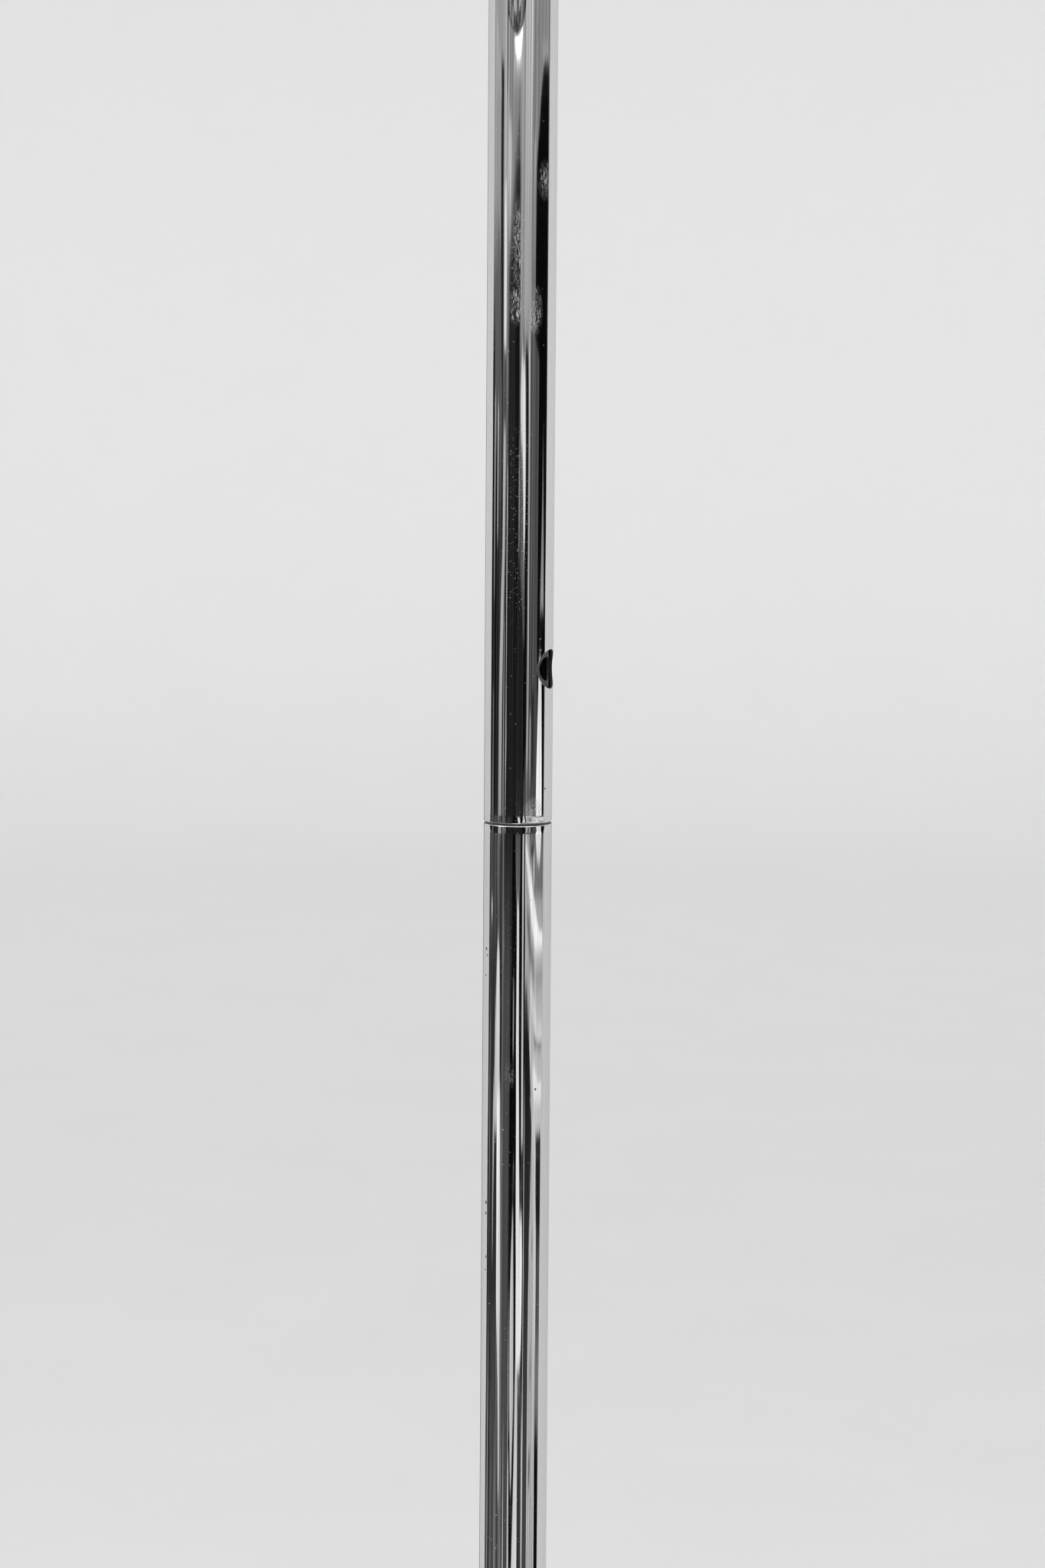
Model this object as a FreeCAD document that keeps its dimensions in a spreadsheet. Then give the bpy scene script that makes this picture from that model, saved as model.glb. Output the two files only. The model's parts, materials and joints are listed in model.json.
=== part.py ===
import FreeCAD, Part
import math
import os

import Sketcher
from FreeCAD import Placement, Rotation, Vector

# Telescopic floor lamp, free-standing. Millimetres, +Z up, origin on the floor
# under the pole's axis. The arm points along -Y, the finger hole along +X and
# the cord inlet along +Y. The pole is drawn closed: the mast rests on the stop
# flange at the seam, and slides up along +Z.

doc = FreeCAD.newDocument("telescopic_floor_lamp")
sheet = doc.addObject("Spreadsheet::Sheet", "Sizes")

SIZES = [
    # pole: two tubes of one diameter that meet at a hairline seam
    ("pole_radius", 12.5, "outside radius of both visible tubes"),
    ("pole_wall", 1.0, "wall of both visible tubes"),
    ("seam_height", 900.0, "top of the lower tube above the floor"),
    ("flange_thick", 0.7, "stop flange between the tubes, seen as a dark line"),
    ("flange_recess", 0.4, "how far the flange stays inside the tube surface"),
    ("seam_gap", 0.05, "air between the flange and the mast at rest"),
    ("rim_round", 0.35, "rounding of the two tube ends at the seam"),
    ("hole_rise", 57.0, "centre of the finger hole above the seam"),
    ("finger_radius", 7.15, "radius of the finger hole in the upper tube"),
    ("lock_radius", 4.5, "radius of the lock hole in the sleeve"),
    ("mast_travel", 350.0, "lift from closed to locked"),
    ("mast_top", 1400.0, "top of the upper tube, closed"),
    ("press_gap", 0.05, "radial gap drawn at pieces pressed into a tube"),
    # inner column and its bushes
    ("column_radius", 10.0, "outside radius of the inner column"),
    ("column_wall", 1.5, "wall of the inner column"),
    ("column_foot", 740.0, "lower end of the inner column"),
    ("column_head", 1330.0, "upper end of the inner column"),
    ("bush_gap", 0.03, "radial gap drawn between the column and its bushes"),
    ("stop_bush_length", 50.0, "stop bush below its flange"),
    ("foot_bush_base", 745.0, "lower face of the foot bush"),
    ("foot_bush_length", 30.0, "length of the foot bush"),
    ("pin_radius", 1.5, "radius of the spring pins"),
    ("pin_upper", 872.0, "height of the pin in the stop bush"),
    ("pin_lower", 760.0, "height of the pin in the foot bush"),
    ("guide_radius", 11.4, "outside radius of the split guide bush"),
    ("guide_length", 20.0, "length of the guide bush above the column"),
    ("guide_spigot", 13.0, "length of its spigot inside the column"),
    ("guide_pin_drop", 6.0, "guide pin below the column's end"),
    ("lead_radius", 4.0, "way through for the leads"),
    # lock button, its sleeve and spring
    ("sleeve_radius", 11.45, "outside radius of the lock sleeve"),
    ("sleeve_bore", 10.2, "bore radius of the lock sleeve"),
    ("sleeve_waist", 10.9, "radius of the sleeve's relieved waist round the lock hole"),
    ("waist_reach", 12.5, "relief above and below the middle of the lock hole"),
    ("transit_radius", 5.5, "hole in the column for the transit pin, mast down"),
    ("sleeve_start", 0.5, "sleeve above the lower end of the upper tube"),
    ("sleeve_length", 77.25, "length of the lock sleeve"),
    ("button_radius", 4.0, "radius of the lock button"),
    ("button_hole", 4.1, "radius of its hole in the column"),
    ("button_tip", 11.4, "tip of the button from the pole axis, out"),
    ("button_flange", 5.5, "radius of the flange that keeps it in"),
    # base
    ("base_radius", 140.0, "outside radius of the spun cover"),
    ("base_skin", 1.0, "sheet thickness of the spun cover"),
    ("base_lip", 2.0, "edge of the cover above the floor"),
    ("base_side", 16.0, "top of the cover's upright side"),
    ("base_fillet", 5.0, "outside radius of the cover's shoulder"),
    ("base_crown", 30.0, "top of the cover at the middle"),
    ("crown_radius", 26.0, "radius of the flat middle of the cover"),
    ("felt_thick", 2.5, "felt under the base"),
    ("felt_radius", 132.0, "radius of the felt"),
    ("weight_radius", 136.0, "radius of the cast weight"),
    ("recess_radius", 45.0, "radius of the recess under the weight"),
    ("recess_roof", 15.0, "roof of the recess and of the cord channel"),
    ("channel_width", 13.0, "width of the cord channel"),
    ("stud_radius", 5.0, "M10 hollow stud, outside radius"),
    ("stud_bore", 3.2, "bore radius of the hollow stud"),
    ("stud_foot", 6.0, "lower end of the stud"),
    ("stud_head", 64.0, "upper end of the stud"),
    ("thread_gap", 0.03, "radial gap drawn at threads"),
    ("inlet_height", 9.0, "axis of the cord inlet above the floor"),
    ("inlet_bore", 3.6, "bore radius of the cord grommet"),
    ("collar_radius", 24.0, "foot collar, radius at the bottom"),
    ("collar_height", 21.0, "foot collar, height"),
    # swivel head on the mast
    ("journal_radius", 7.5, "journal that the arm hub turns on"),
    ("journal_gap", 0.05, "running gap of the hub on the journal"),
    ("flange_top", 2.5, "mast plug's flange on top of the tube"),
    ("hub_radius", 16.0, "arm hub"),
    ("hub_base", 1402.8, "lower face of the hub"),
    ("hub_top", 1450.0, "upper face of the hub"),
    ("hub_floor", 1440.0, "floor of the hub's counterbore"),
    ("boss_radius", 11.0, "side boss that takes the arm"),
    ("boss_reach", 30.0, "end of the boss from the pole axis"),
    ("arm_height", 1424.0, "axis of the arm"),
    ("arm_radius", 8.0, "outside radius of the arm tube"),
    ("arm_wall", 1.0, "wall of the arm tube"),
    ("arm_start", 10.0, "inner end of the arm tube from the pole axis"),
    ("arm_end", 200.0, "outer end of the arm tube from the pole axis"),
    ("arm_reach", 220.0, "tilt pivot and shade axis from the pole axis"),
    ("stop_radius", 10.5, "circle of the swivel stop pin"),
    # tilt joint
    ("fork_half", 8.1, "half width of the fork"),
    ("fork_slot", 3.6, "half width of its slot"),
    ("fork_radius", 9.0, "rounding of the fork's cheeks"),
    ("bolt_radius", 2.5, "M5 tilt bolt"),
    ("eye_half", 2.5, "half thickness of the eye"),
    ("knob_radius", 10.5, "tilt knob"),
    # shade and lampholder, measured down from the cup's top
    ("cup_top", 1398.0, "top of the holder cup"),
    ("cup_radius", 23.0, "outside radius of the holder cup"),
    ("cup_wall", 1.0, "sheet thickness of the cup and the shade"),
    ("cup_height", 70.0, "height of the holder cup"),
    ("shade_radius", 112.0, "outside radius of the half-round shade"),
    ("shade_drop", 109.0, "shade's centre below its top plate"),
    ("holder_radius", 19.5, "outside radius of the lampholder"),
    ("bulb_radius", 30.0, "bulb"),
]


class Dim:
    """A size: its value, and the sheet expression that drives it."""

    def __init__(self, value, text):
        self.v = float(value)
        self.t = text

    def _join(self, other, sign, value):
        return Dim(value, "(%s %s %s)" % (self.t, sign, size(other).t))

    def __add__(self, o):
        return self._join(o, "+", self.v + size(o).v)

    def __radd__(self, o):
        return size(o) + self

    def __sub__(self, o):
        return self._join(o, "-", self.v - size(o).v)

    def __rsub__(self, o):
        return size(o) - self

    def __mul__(self, o):
        return self._join(o, "*", self.v * size(o).v)

    def __rmul__(self, o):
        return size(o) * self

    def __truediv__(self, o):
        return self._join(o, "/", self.v / size(o).v)

    def __neg__(self):
        return Dim(-self.v, "(0 - %s)" % self.t)

    def root(self):
        return Dim(math.sqrt(self.v), "sqrt(%s)" % self.t)


def size(x):
    return x if isinstance(x, Dim) else Dim(x, repr(float(x)))


class Names:
    pass


s = Names()
for row, (word, value, meaning) in enumerate(SIZES, start=1):
    sheet.set("A%d" % row, word)
    sheet.set("B%d" % row, repr(value))
    sheet.set("C%d" % row, meaning)
    sheet.setAlias("B%d" % row, word)
    setattr(s, word, Dim(value, "Sizes." + word))
doc.recompute()



def dome(edge, rise):
    """Radius of a dome of this edge radius and rise, centred on the axis."""
    edge, rise = size(edge), size(rise)
    return (edge * edge + rise * rise) / (rise * 2)


X, Y, Z = Vector(1, 0, 0), Vector(0, 1, 0), Vector(0, 0, 1)
NO_TURN = Rotation()
TO_X = Rotation(Z, X)  # a turned piece's own axis along +X
TO_Y = Rotation(Z, Y)
TO_MINUS_Y = Rotation(Z, Vector(0, -1, 0))
nodes = {}
removed = []


def node(label, obj):
    obj.Label = label
    nodes[label] = obj
    return obj


def put(obj, at, turn=NO_TURN):
    at = [size(a) for a in at]
    obj.Placement = Placement(Vector(*[a.v for a in at]), turn)
    for letter, a in zip("xyz", at):
        obj.setExpression("Placement.Base." + letter, a.t)
    return obj


def set_size(obj, name, value):
    value = size(value)
    setattr(obj, name, value.v)
    obj.setExpression(name, value.t)


def plane(body, role):
    return [f for f in body.Origin.OriginFeatures if f.Role == role][0]


def outline(body, points, arcs=None, role="XZ_Plane", name="profile", offset=None):
    """A closed sketch through the points, each held by two bound dimensions.
    arcs maps a side's number to (radius, left): left is True when the arc's
    centre is to the left of the way from its first point to its second."""
    arcs = arcs or {}
    sk = body.newObject("Sketcher::SketchObject", name)
    sk.AttachmentSupport = [(plane(body, role), "")]
    sk.MapMode = "FlatFace"
    if offset is not None:
        sk.AttachmentOffset = offset
    pts = [(size(a), size(b)) for a, b in points]
    ends = []
    for i, (a, b) in enumerate(zip(pts, pts[1:] + pts[:1])):
        pa, pb = Vector(a[0].v, a[1].v, 0), Vector(b[0].v, b[1].v, 0)
        if i not in arcs:
            ends.append((sk.addGeometry(Part.LineSegment(pa, pb), False), 1, 2))
            continue
        radius, left = size(arcs[i][0]), arcs[i][1]
        chord = pb - pa
        half = chord.Length / 2.0
        side = Vector(-chord.y, chord.x, 0) * (1.0 if left else -1.0)
        side.normalize()
        centre = (pa + pb) * 0.5 + side * math.sqrt(max(radius.v**2 - half**2, 0))
        first, last = (pa, pb) if left else (pb, pa)
        t1 = math.atan2(first.y - centre.y, first.x - centre.x)
        t2 = math.atan2(last.y - centre.y, last.x - centre.x)
        if t2 < t1:
            t2 += 2 * math.pi
        arc = Part.ArcOfCircle(Part.Circle(centre, Z, radius.v), t1, t2)
        g = sk.addGeometry(arc, False)
        ends.append((g, 1, 2) if left else (g, 2, 1))
    n = len(pts)
    for i in range(n):
        g, _, e = ends[i]
        g2, b2, _ = ends[(i + 1) % n]
        sk.addConstraint(Sketcher.Constraint("Coincident", g, e, g2, b2))
    for i, (px, pz) in enumerate(pts):
        g, b, _ = ends[i]
        for kind, d, axis in (("DistanceX", px, -2), ("DistanceY", pz, -1)):
            if abs(d.v) < 1e-9:
                sk.addConstraint(Sketcher.Constraint("PointOnObject", g, b, axis))
            else:
                c = sk.addConstraint(Sketcher.Constraint(kind, -1, 1, g, b, d.v))
                sk.setExpression("Constraints[%d]" % c, d.t)
    for i in arcs:
        r = size(arcs[i][0])
        c = sk.addConstraint(Sketcher.Constraint("Radius", ends[i][0], r.v))
        sk.setExpression("Constraints[%d]" % c, r.t)
    return sk


def turned(
    label, points, arcs=None, at=(0, 0, 0), turn=NO_TURN, role="XZ_Plane", angle=360.0
):
    """A piece turned about its own Z: points are (radius, height)."""
    body = doc.addObject("PartDesign::Body", label)
    sk = outline(body, points, arcs, role)
    rev = body.newObject("PartDesign::Revolution", label + "_turn")
    rev.Profile = sk
    rev.ReferenceAxis = (sk, ["V_Axis"])
    rev.Angle = angle
    rev.Midplane = angle < 360.0
    body.Tip = rev
    return put(body, at, turn)


def tube(label, inner, outer, low, high, at=(0, 0, 0), turn=NO_TURN):
    ring = [(inner, low), (outer, low), (outer, high), (inner, high)]
    return turned(label, ring, None, at, turn)


def extruded(label, points, width, arcs=None, role="XZ_Plane", at=(0, 0, 0)):
    """A flat outline, thickened to both sides of its plane."""
    body = doc.addObject("PartDesign::Body", label)
    sk = outline(body, points, arcs, role)
    pad = body.newObject("PartDesign::Pad", label + "_pad")
    pad.Profile = sk
    set_size(pad, "Length", width)
    pad.Midplane = True
    body.Tip = pad
    return put(body, at)


def round_slots(body, points, top, depth, count, first=0.0):
    """Equal slots round a turned piece, milled down from the height top."""
    sk = outline(
        body,
        points,
        None,
        "XY_Plane",
        "slot",
        Placement(Vector(0, 0, size(top).v), Rotation(Z, first)),
    )
    sk.setExpression("AttachmentOffset.Base.z", size(top).t)
    before = body.Tip
    cut = body.newObject("PartDesign::Pocket", "slot_cut")
    cut.Profile = sk
    set_size(cut, "Length", depth)
    body.Tip = cut
    doc.recompute()
    ring = body.newObject("PartDesign::PolarPattern", "slot_ring")
    ring.Originals = [cut]
    ring.Axis = (sk, ["N_Axis"])
    ring.Angle = 360.0
    ring.Occurrences = count
    body.Tip = ring
    doc.recompute()
    removed.append((ring.Shape.Volume, before.Shape.Volume, body.Label + " slots"))
    return body


def bar(name, radius, length, at, along=Z):
    obj = doc.addObject("Part::Cylinder", name)
    set_size(obj, "Radius", radius)
    set_size(obj, "Height", length)
    return put(obj, at, Rotation(Z, along))


def block(name, low, high):
    obj = doc.addObject("Part::Box", name)
    low, high = [size(a) for a in low], [size(a) for a in high]
    for prop, a, b in zip(("Length", "Width", "Height"), low, high):
        set_size(obj, prop, b - a)
    return put(obj, low)


def hexagon(name, across, length, at, along=Z):
    obj = doc.addObject("Part::Prism", name)
    obj.Polygon = 6
    set_size(obj, "Circumradius", size(across) * (1.0 / math.sqrt(3.0)))
    set_size(obj, "Height", length)
    return put(obj, at, Rotation(Z, along))


cuts = []


def cut(base, *tools):
    out = base
    for tool in tools:
        c = doc.addObject("Part::Cut", "cut")
        c.Base = out
        c.Tool = tool
        cuts.append((c, out))
        out = c
    return out


def joined(*parts):
    f = doc.addObject("Part::MultiFuse", "join")
    f.Shapes = list(parts)
    return f


def group(*parts):
    c = doc.addObject("Part::Compound", "group")
    c.Links = list(parts)
    return c


pole_bore = s.pole_radius - s.pole_wall
column_bore = s.column_radius - s.column_wall
in_tube = pole_bore - s.press_gap
on_column = s.column_radius + s.bush_gap
stud_hole = s.stud_radius + s.thread_gap
pin_hole = s.pin_radius + 0.02


def cross_hole(name, height, reach=20.0):
    """A hole along Y right through the pole's axis."""
    return bar(name, pin_hole, 2 * reach, (0, -reach, height), Y)


# --------------------------------------------------------------------- base
node(
    "base_felt",
    turned(
        "base_felt",
        [(0, 0), (s.felt_radius, 0), (s.felt_radius, s.felt_thick), (0, s.felt_thick)],
    ),
)

# cast weight: recess for the nut in the middle, channel for the cord to the rim
weight_blank = turned(
    "weight_blank",
    [
        (s.stud_radius + 0.3, s.recess_roof),
        (s.recess_radius, s.recess_roof),
        (s.recess_radius, s.felt_thick),
        (s.weight_radius - 1.5, s.felt_thick),
        (s.weight_radius, s.felt_thick + 1.5),
        (s.weight_radius, s.base_side - 0.5),
        (s.weight_radius - 6, s.base_crown - 10.1),
        (80, s.base_crown - 3.6),
        (s.crown_radius, s.base_crown - s.base_skin),
        (s.stud_radius + 0.3, s.base_crown - s.base_skin),
    ],
)
channel = block(
    "cord_channel",
    (s.channel_width * -0.5, s.recess_radius - 5, 0),
    (s.channel_width * 0.5, s.weight_radius + 5, s.recess_roof),
)
earth_hole = bar("earth_hole", 2.03, 10.0, (25, 0, s.recess_roof - 1))
node("base_weight", cut(weight_blank, channel, earth_hole))

# spun cover: flat middle, shallow dome and rounded shoulder, each tangent to the
# next, then the upright side
inner_crown = s.base_crown - s.base_skin
dome_span = s.base_radius - s.base_fillet - s.crown_radius
dome_fall = s.base_crown - s.base_side - s.base_fillet
dome_less = (dome_span * dome_span + dome_fall * dome_fall) / (dome_fall * 2)
crown_arc = dome_less + s.base_fillet
crown_in = crown_arc - s.base_skin
shoulder_out = (
    s.crown_radius + crown_arc * dome_span / dome_less,
    s.base_crown - crown_arc * dome_fall / dome_less,
)
shoulder_in = (
    s.crown_radius + crown_in * dome_span / dome_less,
    s.base_crown - crown_arc + crown_in * (dome_less - dome_fall) / dome_less,
)
cover_blank = turned(
    "cover_blank",
    [
        (s.stud_radius + 0.5, inner_crown),
        (s.crown_radius, inner_crown),
        shoulder_in,
        (s.base_radius - s.base_skin, s.base_side),
        (s.base_radius - s.base_skin, s.base_lip),
        (s.base_radius, s.base_lip),
        (s.base_radius, s.base_side),
        shoulder_out,
        (s.crown_radius, s.base_crown),
        (s.stud_radius + 0.5, s.base_crown),
    ],
    {
        1: (crown_in, False),
        2: (s.base_fillet - s.base_skin, False),
        6: (s.base_fillet, True),
        7: (crown_arc, True),
    },
)
inlet_hole = bar(
    "inlet_hole", 5.0, 20.0, (0, s.base_radius - 10, s.inlet_height), Y
)
node("base_cover", cut(cover_blank, inlet_hole))

# cord inlet: a bush that snaps into the cover's side; its heights are along +Y
node(
    "cord_grommet",
    turned(
        "cord_grommet",
        [
            (s.inlet_bore, -12.0),
            (5.4, -12.0),
            (5.4, -2.5),
            (6.2, -2.5),
            (6.2, -1.2),
            (4.95, -1.2),
            (4.95, 0.05),
            (6.5, 0.05),
            (6.5, 1.2),
            (5.7, 2.0),
            (s.inlet_bore, 2.0),
        ],
        None,
        (0, s.base_radius, s.inlet_height),
        TO_Y,
    ),
)

node("base_stud", tube("base_stud", s.stud_bore, s.stud_radius, s.stud_foot, s.stud_head))
node(
    "stud_washer",
    tube("stud_washer", s.stud_radius + 0.25, 15.0, s.recess_roof - 2, s.recess_roof),
)
node(
    "stud_nut",
    cut(
        hexagon("nut_blank", 17.0, 5.0, (0, 0, s.recess_roof - 7)),
        bar("nut_bore", stud_hole, 7.0, (0, 0, s.recess_roof - 8)),
    ),
)
node(
    "earth_screw",
    turned(
        "earth_screw",
        [(0, -2.6), (3.5, -2.6), (3.5, -0.05), (2.0, -0.05), (2.0, 8.5), (0, 8.5)],
        None,
        (25, 0, s.recess_roof),
    ),
)

# foot collar: trumpet-shaped, stands on the cover round the tube
collar_bore = s.pole_radius + 0.05
node(
    "foot_collar",
    turned(
        "foot_collar",
        [
            (collar_bore, s.base_crown),
            (s.collar_radius, s.base_crown),
            (s.collar_radius, s.base_crown + 2.5),
            (s.collar_radius - 1, s.base_crown + 3.5),
            (s.pole_radius + 2.2, s.base_crown + s.collar_height - 2.5),
            (s.pole_radius + 1.4, s.base_crown + s.collar_height),
            (collar_bore, s.base_crown + s.collar_height),
        ],
        {3: (18.0, False)},
    ),
)
node(
    "pole_foot_plug",
    tube("pole_foot_plug", stud_hole, in_tube, s.base_crown, s.base_crown + 30),
)

# --------------------------------------------------- lower tube and column
node(
    "lower_tube",
    turned(
        "lower_tube",
        [
            (pole_bore, s.base_crown),
            (s.pole_radius, s.base_crown),
            (s.pole_radius, s.seam_height - s.rim_round),
            (s.pole_radius - s.rim_round, s.seam_height),
            (pole_bore, s.seam_height),
        ],
        {2: (s.rim_round, True)},
    ),
)

# stop bush: carries the column, and its flange is what the mast rests on
flange_top = s.seam_height + s.flange_thick
stop_blank = turned(
    "stop_blank",
    [
        (on_column, s.seam_height - s.stop_bush_length),
        (in_tube, s.seam_height - s.stop_bush_length),
        (in_tube, s.seam_height),
        (s.pole_radius - s.flange_recess, s.seam_height),
        (s.pole_radius - s.flange_recess, flange_top),
        (on_column, flange_top),
    ],
)
node("stop_bush", cut(stop_blank, cross_hole("stop_pin_hole", s.pin_upper)))

foot_blank = tube(
    "foot_blank",
    on_column,
    in_tube,
    s.foot_bush_base,
    s.foot_bush_base + s.foot_bush_length,
)
node("column_foot_bush", cut(foot_blank, cross_hole("foot_pin_hole", s.pin_lower)))

pin_reach = in_tube - 0.25
node(
    "column_pins",
    group(
        bar("pin_a", s.pin_radius, 2 * pin_reach, (0, -pin_reach, s.pin_upper), Y),
        bar("pin_b", s.pin_radius, 2 * pin_reach, (0, -pin_reach, s.pin_lower), Y),
    ),
)

button_height = s.seam_height + s.hole_rise + s.mast_travel
guide_pin_height = s.column_head - s.guide_pin_drop
column_blank = tube(
    "column_blank", column_bore, s.column_radius, s.column_foot, s.column_head
)
node(
    "inner_column",
    cut(
        column_blank,
        cross_hole("column_pin_hole_a", s.pin_upper),
        cross_hole("column_pin_hole_b", s.pin_lower),
        cross_hole("column_pin_hole_c", guide_pin_height),
        bar("button_hole", s.button_hole, 15.0, (0, 0, button_height), X),
        bar("transit_hole", s.transit_radius, 15.0, (0, 0, s.seam_height + s.hole_rise), X),
    ),
)

# split guide bush on the column's head: its three fingers grip the mast's bore
guide_low = s.column_head - s.guide_spigot
guide_high = s.column_head + s.guide_length
guide_body = turned(
    "guide_blank",
    [
        (s.lead_radius, guide_low),
        (column_bore - s.press_gap, guide_low),
        (column_bore - s.press_gap, s.column_head),
        (s.guide_radius - 0.6, s.column_head),
        (s.guide_radius, s.column_head + 0.6),
        (s.guide_radius, guide_high - 0.8),
        (s.guide_radius - 0.8, guide_high),
        (9.0, guide_high),
        (9.0, s.column_head + 6),
        (s.lead_radius, s.column_head + 6),
    ],
)
doc.recompute()
round_slots(
    guide_body, [(8.0, -0.8), (13.0, -0.8), (13.0, 0.8), (8.0, 0.8)], guide_high + 1, 14.0, 3, 60.0
)
node("guide_bush", cut(guide_body, cross_hole("guide_pin_hole", guide_pin_height)))
guide_pin_reach = s.column_radius - 0.3
node(
    "guide_pin",
    bar("guide_pin", s.pin_radius, 2 * guide_pin_reach, (0, -guide_pin_reach, guide_pin_height), Y),
)

# lock button: heights along +X from the pole axis, drawn out
node(
    "lock_button",
    turned(
        "lock_button",
        [
            (0, 5.3),
            (s.button_flange, 5.3),
            (s.button_flange, 6.25),
            (s.button_radius, 6.25),
            (s.button_radius, s.button_tip - 1.5),
            (0, s.button_tip),
        ],
        {4: (dome(s.button_radius, 1.5), True)},
        (0, 0, button_height),
        TO_X,
    ),
)

# hairpin spring behind the button, from one strip bent into a V
node(
    "lock_spring",
    extruded(
        "lock_spring",
        [
            (-7.85, button_height - 5),
            (-7.85, button_height - 46),
            (-3.35, button_height - 46),
            (5.2, button_height - 4),
            (5.2, button_height + 5),
            (4.7, button_height + 5),
            (4.7, button_height - 3.9),
            (-3.85, button_height - 46),
            (-7.35, button_height - 46),
            (-7.35, button_height - 5),
        ],
        6.0,
        {1: (2.4, True), 7: (1.9, False)},
    ),
)

# --------------------------------------------------------------- upper mast
tube_foot = flange_top + s.seam_gap
hole_height = s.seam_height + s.hole_rise
upper_blank = turned(
    "upper_blank",
    [
        (pole_bore, tube_foot),
        (s.pole_radius - s.rim_round, tube_foot),
        (s.pole_radius, tube_foot + s.rim_round),
        (s.pole_radius, s.mast_top),
        (pole_bore, s.mast_top),
    ],
    {1: (s.rim_round, True)},
)
node(
    "upper_tube",
    cut(upper_blank, bar("finger_hole", s.finger_radius, 20.0, (0, 0, hole_height), X)),
)

sleeve_foot = tube_foot + s.sleeve_start
sleeve_head = sleeve_foot + s.sleeve_length
waist_step = s.sleeve_radius - s.sleeve_waist
sleeve_blank = turned(
    "sleeve_blank",
    [
        (s.sleeve_bore, sleeve_foot),
        (s.sleeve_radius, sleeve_foot),
        (s.sleeve_radius, hole_height - s.waist_reach),
        (s.sleeve_waist, hole_height - s.waist_reach + waist_step),
        (s.sleeve_waist, hole_height + s.waist_reach - waist_step),
        (s.sleeve_radius, hole_height + s.waist_reach),
        (s.sleeve_radius, sleeve_head),
        (s.sleeve_bore + 1.0, sleeve_head),
        (s.sleeve_bore, sleeve_head - 2.0),
    ],
)
node(
    "lock_sleeve",
    cut(sleeve_blank, bar("lock_hole", s.lock_radius, 20.0, (0, 0, hole_height), X)),
)

# plug in the mast's top, with the journal that the hub turns on
journal_top = s.hub_floor + 6.5
plug_blank = turned(
    "plug_blank",
    [
        (s.lead_radius, s.mast_top - 30),
        (in_tube, s.mast_top - 30),
        (in_tube, s.mast_top),
        (s.pole_radius, s.mast_top),
        (s.pole_radius, s.mast_top + s.flange_top),
        (s.journal_radius, s.mast_top + s.flange_top),
        (s.journal_radius, journal_top),
        (s.lead_radius, journal_top),
    ],
)
node(
    "mast_plug",
    cut(
        plug_blank,
        bar("stop_seat", 1.0, 10.0, (0, -s.stop_radius, s.mast_top + 0.5)),
        bar("lead_window", 3.0, 20.0, (0, -20, s.arm_height), Y),
    ),
)
node(
    "swivel_stop_pin",
    bar("swivel_stop_pin", 0.98, 3.8, (0, -s.stop_radius, s.mast_top + 0.5)),
)
node(
    "swivel_washer",
    tube("swivel_washer", s.journal_radius + 0.1, 11.5, s.hub_floor + 0.1, s.hub_floor + 1.1),
)
node(
    "swivel_nut",
    cut(
        hexagon("swivel_nut_blank", 19.0, 4.5, (0, 0, s.hub_floor + 1.1)),
        bar("swivel_nut_bore", s.journal_radius + s.thread_gap, 8.0, (0, 0, s.hub_floor)),
    ),
)

# ---------------------------------------------------------------- arm group
# hub: a turned block with a side boss; the stop groove in its lower face runs
# 352 degrees, so the rib that is left at +Y stops the arm at 170 each way
hub_blank = turned(
    "hub_blank",
    [
        (0, s.hub_base),
        (s.hub_radius - 1, s.hub_base),
        (s.hub_radius, s.hub_base + 1),
        (s.hub_radius, s.hub_top - 0.4),
        (s.hub_radius - 0.4, s.hub_top),
        (0, s.hub_top),
    ],
)
boss = turned(
    "boss_blank",
    [
        (0, 5),
        (s.boss_radius, 5),
        (s.boss_radius, s.boss_reach - 0.8),
        (s.boss_radius - 0.8, s.boss_reach),
        (0, s.boss_reach),
    ],
    None,
    (0, 0, s.arm_height),
    TO_MINUS_Y,
)
groove = turned(
    "stop_groove",
    [
        (-(s.stop_radius + 1.25), s.hub_base - 1),
        (-(s.stop_radius - 1.25), s.hub_base - 1),
        (-(s.stop_radius - 1.25), s.hub_base + 2.2),
        (-(s.stop_radius + 1.25), s.hub_base + 2.2),
    ],
    None,
    (0, 0, 0),
    NO_TURN,
    "YZ_Plane",
    352.0,
)
node(
    "arm_hub",
    cut(
        joined(hub_blank, boss),
        bar("hub_bore", s.journal_radius + s.journal_gap, 60.0, (0, 0, s.hub_base - 5)),
        bar("hub_counterbore", 12.0, 15.0, (0, 0, s.hub_floor)),
        bar("arm_socket", s.arm_radius + 0.03, 30.0, (0, -(s.arm_start - 0.4), s.arm_height), -Y),
        bar("hub_lead_hole", 3.0, 10.0, (0, -4, s.arm_height), -Y),
        bar("grub_hole", 2.03, 10.0, (0, -22, s.arm_height - s.boss_radius - 4)),
        groove,
    ),
)
node(
    "hub_cap",
    turned(
        "hub_cap",
        [
            (0, s.hub_top - 2.8),
            (11.9, s.hub_top - 2.8),
            (11.9, s.hub_top + 0.05),
            (s.hub_radius, s.hub_top + 0.05),
            (s.hub_radius, s.hub_top + 1.5),
            (0, s.hub_top + 6),
        ],
        {4: (dome(s.hub_radius, 4.5), True)},
    ),
)
node(
    "arm_grub_screw",
    cut(
        bar("grub_blank", 2.0, 2.7, (0, -22, s.arm_height - s.boss_radius + 0.25)),
        hexagon("grub_socket", 2.0, 1.8, (0, -22, s.arm_height - s.boss_radius)),
    ),
)
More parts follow.
